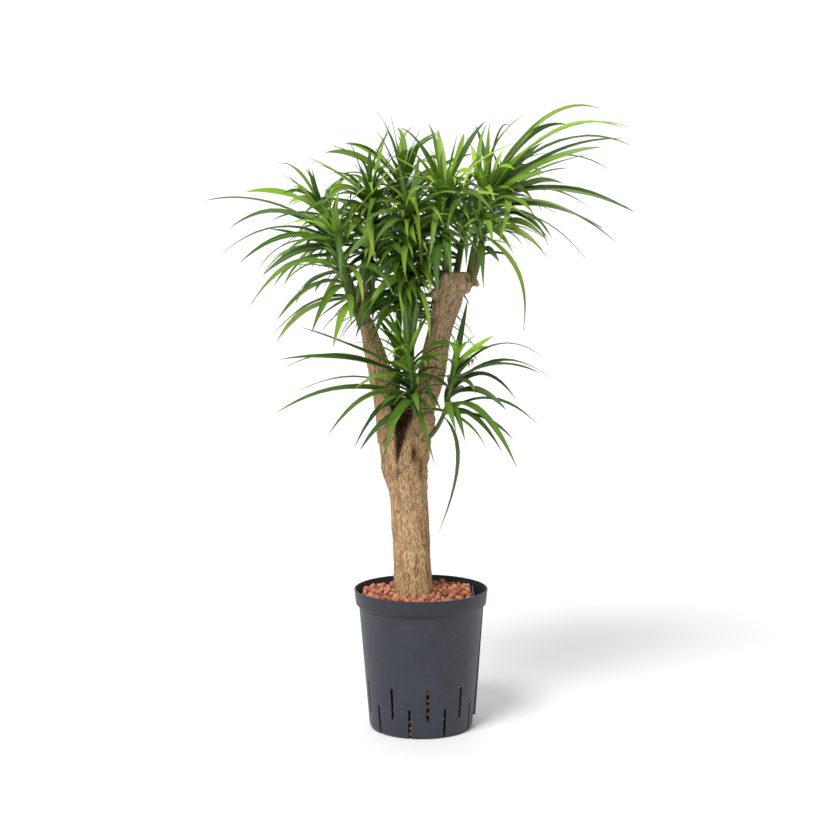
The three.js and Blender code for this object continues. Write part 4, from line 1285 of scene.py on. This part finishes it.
def grow_shoots():
    """Each shoot with its stem's curve and its leaves, None for a leaf that found no room."""
    grown = [(shoot, stem_of(shoot), draws(shoot["seed"]), []) for shoot in SHOOTS]
    for owner, (shoot, stem, draw, leaves) in enumerate(grown):
        for values in shoot["marked"]:
            leaves.append(place_leaf(marked_leaf(stem, values, draw), owner, [1], FEW_TURNS))
    most = max(shoot["leaves"] for shoot in SHOOTS)
    for index in range(most):
        for owner, (shoot, stem, draw, leaves) in enumerate(grown):
            if index < shoot["leaves"]:
                leaf = rule_leaf(stem, shoot, index, draw)
                leaves.append(place_leaf(leaf, owner, SHORTER, TURNS))
    print("leaves as in the solid model:", count_leaves(grown))
    for index in range(HEART_LEAVES):
        for owner, (shoot, stem, draw, leaves) in enumerate(grown):
            leaf = heart_leaf(stem, shoot, index, draw)
            leaves.append(place_leaf(leaf, owner, [1, 0.8], FEW_TURNS, loose=True))
    for between in (0.5, 0.25, 0.75):
        for index in range(-most // 3, most):
            for owner, (shoot, stem, draw, leaves) in enumerate(grown):
                first = FILL_FROM_OF.get(shoot["name"], FILL_FROM) * shoot["leaves"]
                dense = between == 0.5 or shoot["name"] in DENSE
                if dense and first < index <= shoot["leaves"] - between - 0.5:
                    leaf = rule_leaf(stem, shoot, index + between, draw)
                    if leaf["curve"][2][2] < FILL_TOP:
                        leaves.append(place_leaf(leaf, owner, FILL_SHORTER, FILL_TURNS, loose=True))
    return [(shoot, stem, leaves) for shoot, stem, _, leaves in grown]


mark_wood()
near_wood = near_cells.copy()
grown_shoots = grow_shoots()
print("leaves in all:", count_leaves(grown_shoots))

# %% [markdown]
# ## Leaf finish
#
# The leaves are waxy and dark green, with fine veins that run from end to end, a paler underside, a
# whitish green foot that clasps the stem, and here and there a dry tip. The youngest are a bright
# yellow green, which is most of what makes such a plant look alive. Three numbers are kept on each
# leaf: its youth, a random tone, and how far a point is on the underside. The veins follow the
# blade's own UV map. The waxy sheen is a coat.

# %% Leaf and stem finishes
def make_leaf_finish():
    finish = Finish("leaf", {
        "Specular IOR Level": 0.3, "Coat Weight": 0.1, "Coat Roughness": 0.3, "Coat IOR": 1.45})
    youth, tone, under = finish.parts(finish.attribute("leaf", "Vector"))
    across, along, _ = finish.parts(finish.node("ShaderNodeUVMap", {"uv_map": "blade"}))
    lines = {0: across * 30.0, 1: along * 1.4, 2: tone * 40.0}
    veins = finish.noise(finish.node("ShaderNodeCombineXYZ", None, lines), 1.0, 2.0)
    clouds = finish.noise(finish.place(), 26.0, 3.0)
    shade = tone * 0.8 + clouds * 0.3
    old = finish.ramp(
        shade, (0.2, paint(24, 52, 2)), (0.55, paint(64, 102, 8)), (0.9, paint(136, 166, 54)))
    young = finish.ramp(shade, (0.2, paint(150, 205, 30)), (0.9, paint(200, 236, 76)))
    middle = 1.0 - finish.steps(abs(across - 0.5), 0.0, 0.09)
    foot = finish.steps(along, 0.09, 0.0)
    dry = finish.steps(along + tone * 0.03 + clouds * 0.02, 0.995, 1.02)
    colour = finish.coats(
        old,
        (youth, young),
        (finish.steps(veins, 0.4, 0.75) * 0.4, paint(120, 160, 70)),
        (finish.steps(veins, 0.5, 0.25) * 0.35, paint(24, 52, 2)),
        (middle * 0.35, paint(128, 168, 84)),
        (under * 0.45, paint(124, 152, 84)),
        (foot * 0.75, paint(176, 192, 122)),
        (dry * 0.85, paint(122, 98, 58)),
    )
    finish.show(
        color=colour,
        roughness=0.4 + veins * 0.14 + under * 0.12,
        normal=finish.relief(veins, 0.0004, 0.5),
    )
    return finish


def make_stem_finish():
    finish = Finish("green_stem", {"Specular IOR Level": 0.4})
    along = finish.attribute("stem")
    lumps = finish.noise(finish.place(), 140.0, 4.0)
    colour = finish.ramp(
        along * 0.9 + lumps * 0.2,
        (0.12, paint(118, 104, 66)), (0.35, paint(88, 100, 44)), (0.65, paint(80, 112, 40)),
        (1.0, paint(120, 156, 64)),
    )
    lumpy = finish.relief(lumps, 0.0008, 0.5)
    finish.show(color=colour, roughness=0.5 + lumps * 0.2, normal=lumpy)
    return finish


leaf_finish = make_leaf_finish()
stem_finish = make_stem_finish()

# %% [markdown]
# ## One master blade
#
# Hundreds of leaves share one shape, so one straight master blade is made and then bent along each
# leaf's own curve. It is a four-sided ring, with two margins, a groove above and a keel below,
# extruded from row to row and gathered into a point at the tip. The margins are marked sharp, so
# that the shading turns over there and not across the face.

# %% Master blade
ROWS = [0, 0.025, 0.07, 0.14, 0.23, 0.32, 0.41, 0.5, 0.59, 0.68, 0.76, 0.84, 0.91, 0.96, 1]
CORNERS = [(-1, 0), (0, -1), (1, 0), (0, 1)]


def make_master():
    """Blade with x across, y along and z 1 in the groove, -1 on the keel and 0 at the margins."""
    bm = bmesh.new()
    uv = bm.loops.layers.uv.new("blade")
    bm.verts.layers.float_vector.new("leaf")
    bm.verts.layers.float.new("stem")
    ring = bmesh.ops.create_circle(bm, segments=4, radius=1)["verts"]
    for vert, (x, z) in zip(ring, CORNERS):
        vert.co = (x, 0, z)
    edges = list(bm.edges)
    bm.faces.new(ring)
    for low, high in zip(ROWS, ROWS[1:]):
        grown = bmesh.ops.extrude_edge_only(bm, edges=edges)["geom"]
        edges, row = edges_in(grown), verts_in(grown)
        bmesh.ops.translate(bm, vec=(0, high - low, 0), verts=row)
    for face in bm.faces:
        for loop in face.loops:
            loop[uv].uv = (loop.vert.co.x / 2 + 0.5, loop.vert.co.y)
    bmesh.ops.pointmerge(bm, verts=row, merge_co=(0, ROWS[-1], 0))
    bmesh.ops.recalc_face_normals(bm, faces=bm.faces)
    smooth(bm)
    for edge in bm.edges:
        edge.smooth = not all(abs(vert.co.x) > 0.5 for vert in edge.verts)
    return to_mesh("master_blade", bm)


master = make_master()
print("master blade:", len(master.polygons), "faces")

# %% [markdown]
# ## Bending a blade
#
# Each point of the master is carried to its place along the leaf's curve: sideways by the blade's
# width there, up or down by its fold. A real blade is folded like a gutter near its foot and opens
# out, turns a little on its way, and its margins wave.

# %% Bend a blade
SHAPE = [
    (0, 0.5), (0.025, 0.54), (0.07, 0.62), (0.2, 0.86), (0.34, 0.99), (0.45, 1.0), (0.6, 0.88),
    (0.75, 0.62), (0.87, 0.36), (0.95, 0.15), (1, 0),
]
FOLD = [(0, 1.05), (0.08, 0.62), (0.3, 0.34), (0.7, 0.26), (1, 0.3)]
THICKNESS = [(0, 1.5), (0.2, 0.9), (0.7, 0.55), (1, 0.3)]
MOST_TWIST = 0.9
MARGIN_WAVE = 0.09


def at(table, places):
    """Values of a table of (place, value), between its rows too."""
    return np.interp(places, [place for place, _ in table], [value for _, value in table])


def add_blade(bm, leaf, looks):
    """Adds the master blade bent along a leaf. looks draws what the rule leaves open."""
    first = len(bm.verts)
    bm.from_mesh(master)
    bm.verts.ensure_lookup_table()
    verts = bm.verts[first:]
    base = np.array([vert.co for vert in verts])
    places = base[:, 1]
    points, sides, faces = blade_frames(leaf, places)
    twist = looks.uniform(-1, 1) * MOST_TWIST * places[:, None]
    runs = np.cross(sides, faces)
    sides = sides * np.cos(twist) + np.cross(runs, sides) * np.sin(twist)
    faces = np.cross(runs, sides)
    half = leaf["width"] / 2 * at(SHAPE, places) * looks.uniform(1.0, 1.16)
    fold = at(FOLD, places) * looks.uniform(0.6, 1.2)
    wave = np.sin(places * looks.uniform(9, 17) + looks.uniform(0, 6) + base[:, 0]) * MARGIN_WAVE
    margin = np.abs(base[:, 0]) > 0.5
    keel = base[:, 2] < -0.5
    rise = np.where(margin, half * (np.sin(fold) + wave), 0)
    rise -= np.where(keel, at(THICKNESS, places), 0)
    reach = base[:, 0] * half * np.cos(fold)
    placed_points = points + sides * reach[:, None] + faces * rise[:, None]
    layer = bm.verts.layers.float_vector["leaf"]
    youth = min(1.0, max(0.0, leaf["youth"] + looks.uniform(-0.08, 0.08)))
    tone = looks.random() * leaf["tone_most"]
    for vert, place, under in zip(verts, placed_points, keel):
        vert.co = place
        vert[layer] = (youth, tone, float(under))


# %% [markdown]
# ## Stems
#
# The stems are a finger thick at the foot, brownish and ringed with the scars of fallen leaves, and
# green near the tip. A circle is extruded along the curve in short steps, and every few steps it
# swells into a ring.

# %% Stems
STEM_SIDES = 10
RING_SPACING = 4.6
STEPS_A_RING = 3
SCAR_SWELL = 1.06
SCAR_WAIST = 0.95
TIP_SHARE = 0.3


def add_stem(bm, shoot, stem):
    layer = bm.verts.layers.float["stem"]
    length = math.dist(stem[0], stem[1]) + math.dist(stem[1], stem[2])
    steps = round(length / RING_SPACING) * STEPS_A_RING
    places = np.arange(steps + 1) / steps
    rings = []
    for step, (point, run) in enumerate(zip(on_curve(stem, places), along_curve(stem, places))):
        radius = shoot["girth"] * (1 - STEM_TAPER * places[step])
        radius *= SCAR_SWELL if step % STEPS_A_RING == 0 else SCAR_WAIST
        if step == steps:
            radius *= TIP_SHARE
        rings.append(ring_at(Vector(point), run, radius, radius))
    for count, vert in enumerate(add_tube(bm, STEM_SIDES, rings)):
        vert[layer] = min(1.0, count / STEM_SIDES / steps)


def make_shoot(shoot, stem, leaves):
    """Stem and blades in one mesh. It starts as an emptied master blade, to have its layers."""
    looks = random.Random(shoot["seed"])
    bm = bmesh.new()
    bm.from_mesh(master)
    bmesh.ops.delete(bm, geom=bm.verts[:], context="VERTS")
    add_stem(bm, shoot, stem)
    for face in bm.faces:
        face.material_index = 1
    smooth(bm)
    bmesh.ops.recalc_face_normals(bm, faces=bm.faces)
    for leaf in leaves:
        add_blade(bm, leaf, looks)
    return make_object(shoot["name"].replace("shoot", "leafy_shoot"), bm, leaf_finish, stem_finish)


# %% [markdown]
# ## Young and old
#
# The leaves in the heart of each shoot are the bright ones. A few marked leaves that have just
# opened are bright as well. The two low shoots grow in the shade of the crown, so their leaves are
# painted darker than the rest, as painted shade.

# %% Dress the shoots
BRIGHT_YOUTH = 0.8
YOUNG_UNTIL = 0.3
USUAL_YOUTH = 0.2
BRIGHT = {
    "shoot_right_top": (0, 9, 11), "shoot_top": (0, 1, 2), "shoot_left_outer": (1, 4),
    "shoot_left_front": (6, 7, 8), "shoot_low_right": (11,), "shoot_low_front": (10,),
}
LIVELY = {
    "shoot_right_top": 0.8, "shoot_top": 0.6, "shoot_left_front": 0.6, "shoot_left_outer": 0.4,
    "shoot_low_right": 0.95, "shoot_low_front": 0.6,
}
# Painted shade: the low shoots' leaves get darker tones, for the crown's shade over them.
SHADED_TONE_MOST = {"shoot_low_right": 0.6, "shoot_low_front": 0.6}


def youth_of(age, most):
    """0 for a full-grown leaf, rising to the most for an unopened one."""
    return most * max(0.0, 1 - age / YOUNG_UNTIL) ** 1.5


for shoot, stem, leaves in grown_shoots:
    bright = BRIGHT.get(shoot["name"], ())
    most = LIVELY.get(shoot["name"], USUAL_YOUTH)
    for number, leaf in enumerate(leaves):
        if leaf is not None:
            leaf["youth"] = BRIGHT_YOUTH if number in bright else youth_of(leaf["age"], most)
            leaf["tone_most"] = SHADED_TONE_MOST.get(shoot["name"], 1.0)
    piece = make_shoot(shoot, stem, [leaf for leaf in leaves if leaf is not None])
    dress(piece, shoot["name"])

# %% [markdown]
# ## Studio
#
# A white sweep, a floor that curves up behind the plant, gives the plain pale ground. A large soft
# light from the front left gives the leaves their sheen and throws a soft shadow back and to the
# right, and the white surroundings fill in the rest.

# %% Sweep
SWEEP_WIDTH = 14000
SWEEP_FRONT = -6000
SWEEP_TOP = 7000
BEND_START = 2600
BEND_RADIUS = 1600
BEND_STEPS = 12


def make_sweep():
    bm = bmesh.new()
    turns = [math.pi / 2 * step / BEND_STEPS for step in range(BEND_STEPS + 1)]
    bend = [
        (BEND_START + BEND_RADIUS * math.sin(turn), BEND_RADIUS * (1 - math.cos(turn)))
        for turn in turns
    ]
    outline = [(SWEEP_FRONT, 0), *bend, (BEND_START + BEND_RADIUS, SWEEP_TOP)]
    _, edges = add_line(bm, [(-SWEEP_WIDTH / 2, y, z) for y, z in outline])
    grown = bmesh.ops.extrude_edge_only(bm, edges=edges)["geom"]
    bmesh.ops.translate(bm, vec=(SWEEP_WIDTH, 0, 0), verts=verts_in(grown))
    bmesh.ops.recalc_face_normals(bm, faces=bm.faces)
    smooth(bm)
    finish = Finish("studio_white", {
        "Base Color": (0.94, 0.94, 0.94, 1), "Roughness": 0.9, "Specular IOR Level": 0.1})
    return make_object("sweep", bm, finish)


sweep = make_sweep()

# %% Lights
def add_light(name, place, target, size, power):
    light = bpy.data.lights.new(name, "AREA")
    light.shape = "DISK"
    light.size = size
    light.energy = power
    lamp = bpy.data.objects.new(name, light)
    lamp.location = place
    lamp.rotation_euler = (Vector(target) - Vector(place)).to_track_quat("-Z", "Y").to_euler()
    bpy.context.scene.collection.objects.link(lamp)


add_light("key", (-1.3, -2.3, 3.4), (0, 0, 0.4), 1.7, 150)
add_light("backdrop", (0, 1.0, 3.6), (0, 4.2, 2.2), 3.0, 85)
world = bpy.data.worlds.new("studio")
world.use_nodes = True
world.node_tree.nodes["Background"].inputs["Color"].default_value = (1, 1, 1, 1)
world.node_tree.nodes["Background"].inputs["Strength"].default_value = 0.42
bpy.context.scene.world = world

# %% Camera
CAMERA_PLACE = Vector((0.0, -2.300, 0.683))
CAMERA_AIM = Vector((-0.0013, 0.0, 0.4181))
lens = bpy.data.cameras.new("camera")
lens.sensor_width = 36
lens.lens = 74.3
camera = bpy.data.objects.new("camera", lens)
camera.location = CAMERA_PLACE
camera.rotation_euler = (CAMERA_AIM - CAMERA_PLACE).to_track_quat("-Z", "Y").to_euler()
bpy.context.scene.collection.objects.link(camera)
bpy.context.scene.camera = camera
bpy.context.scene.view_settings.view_transform = "Standard"
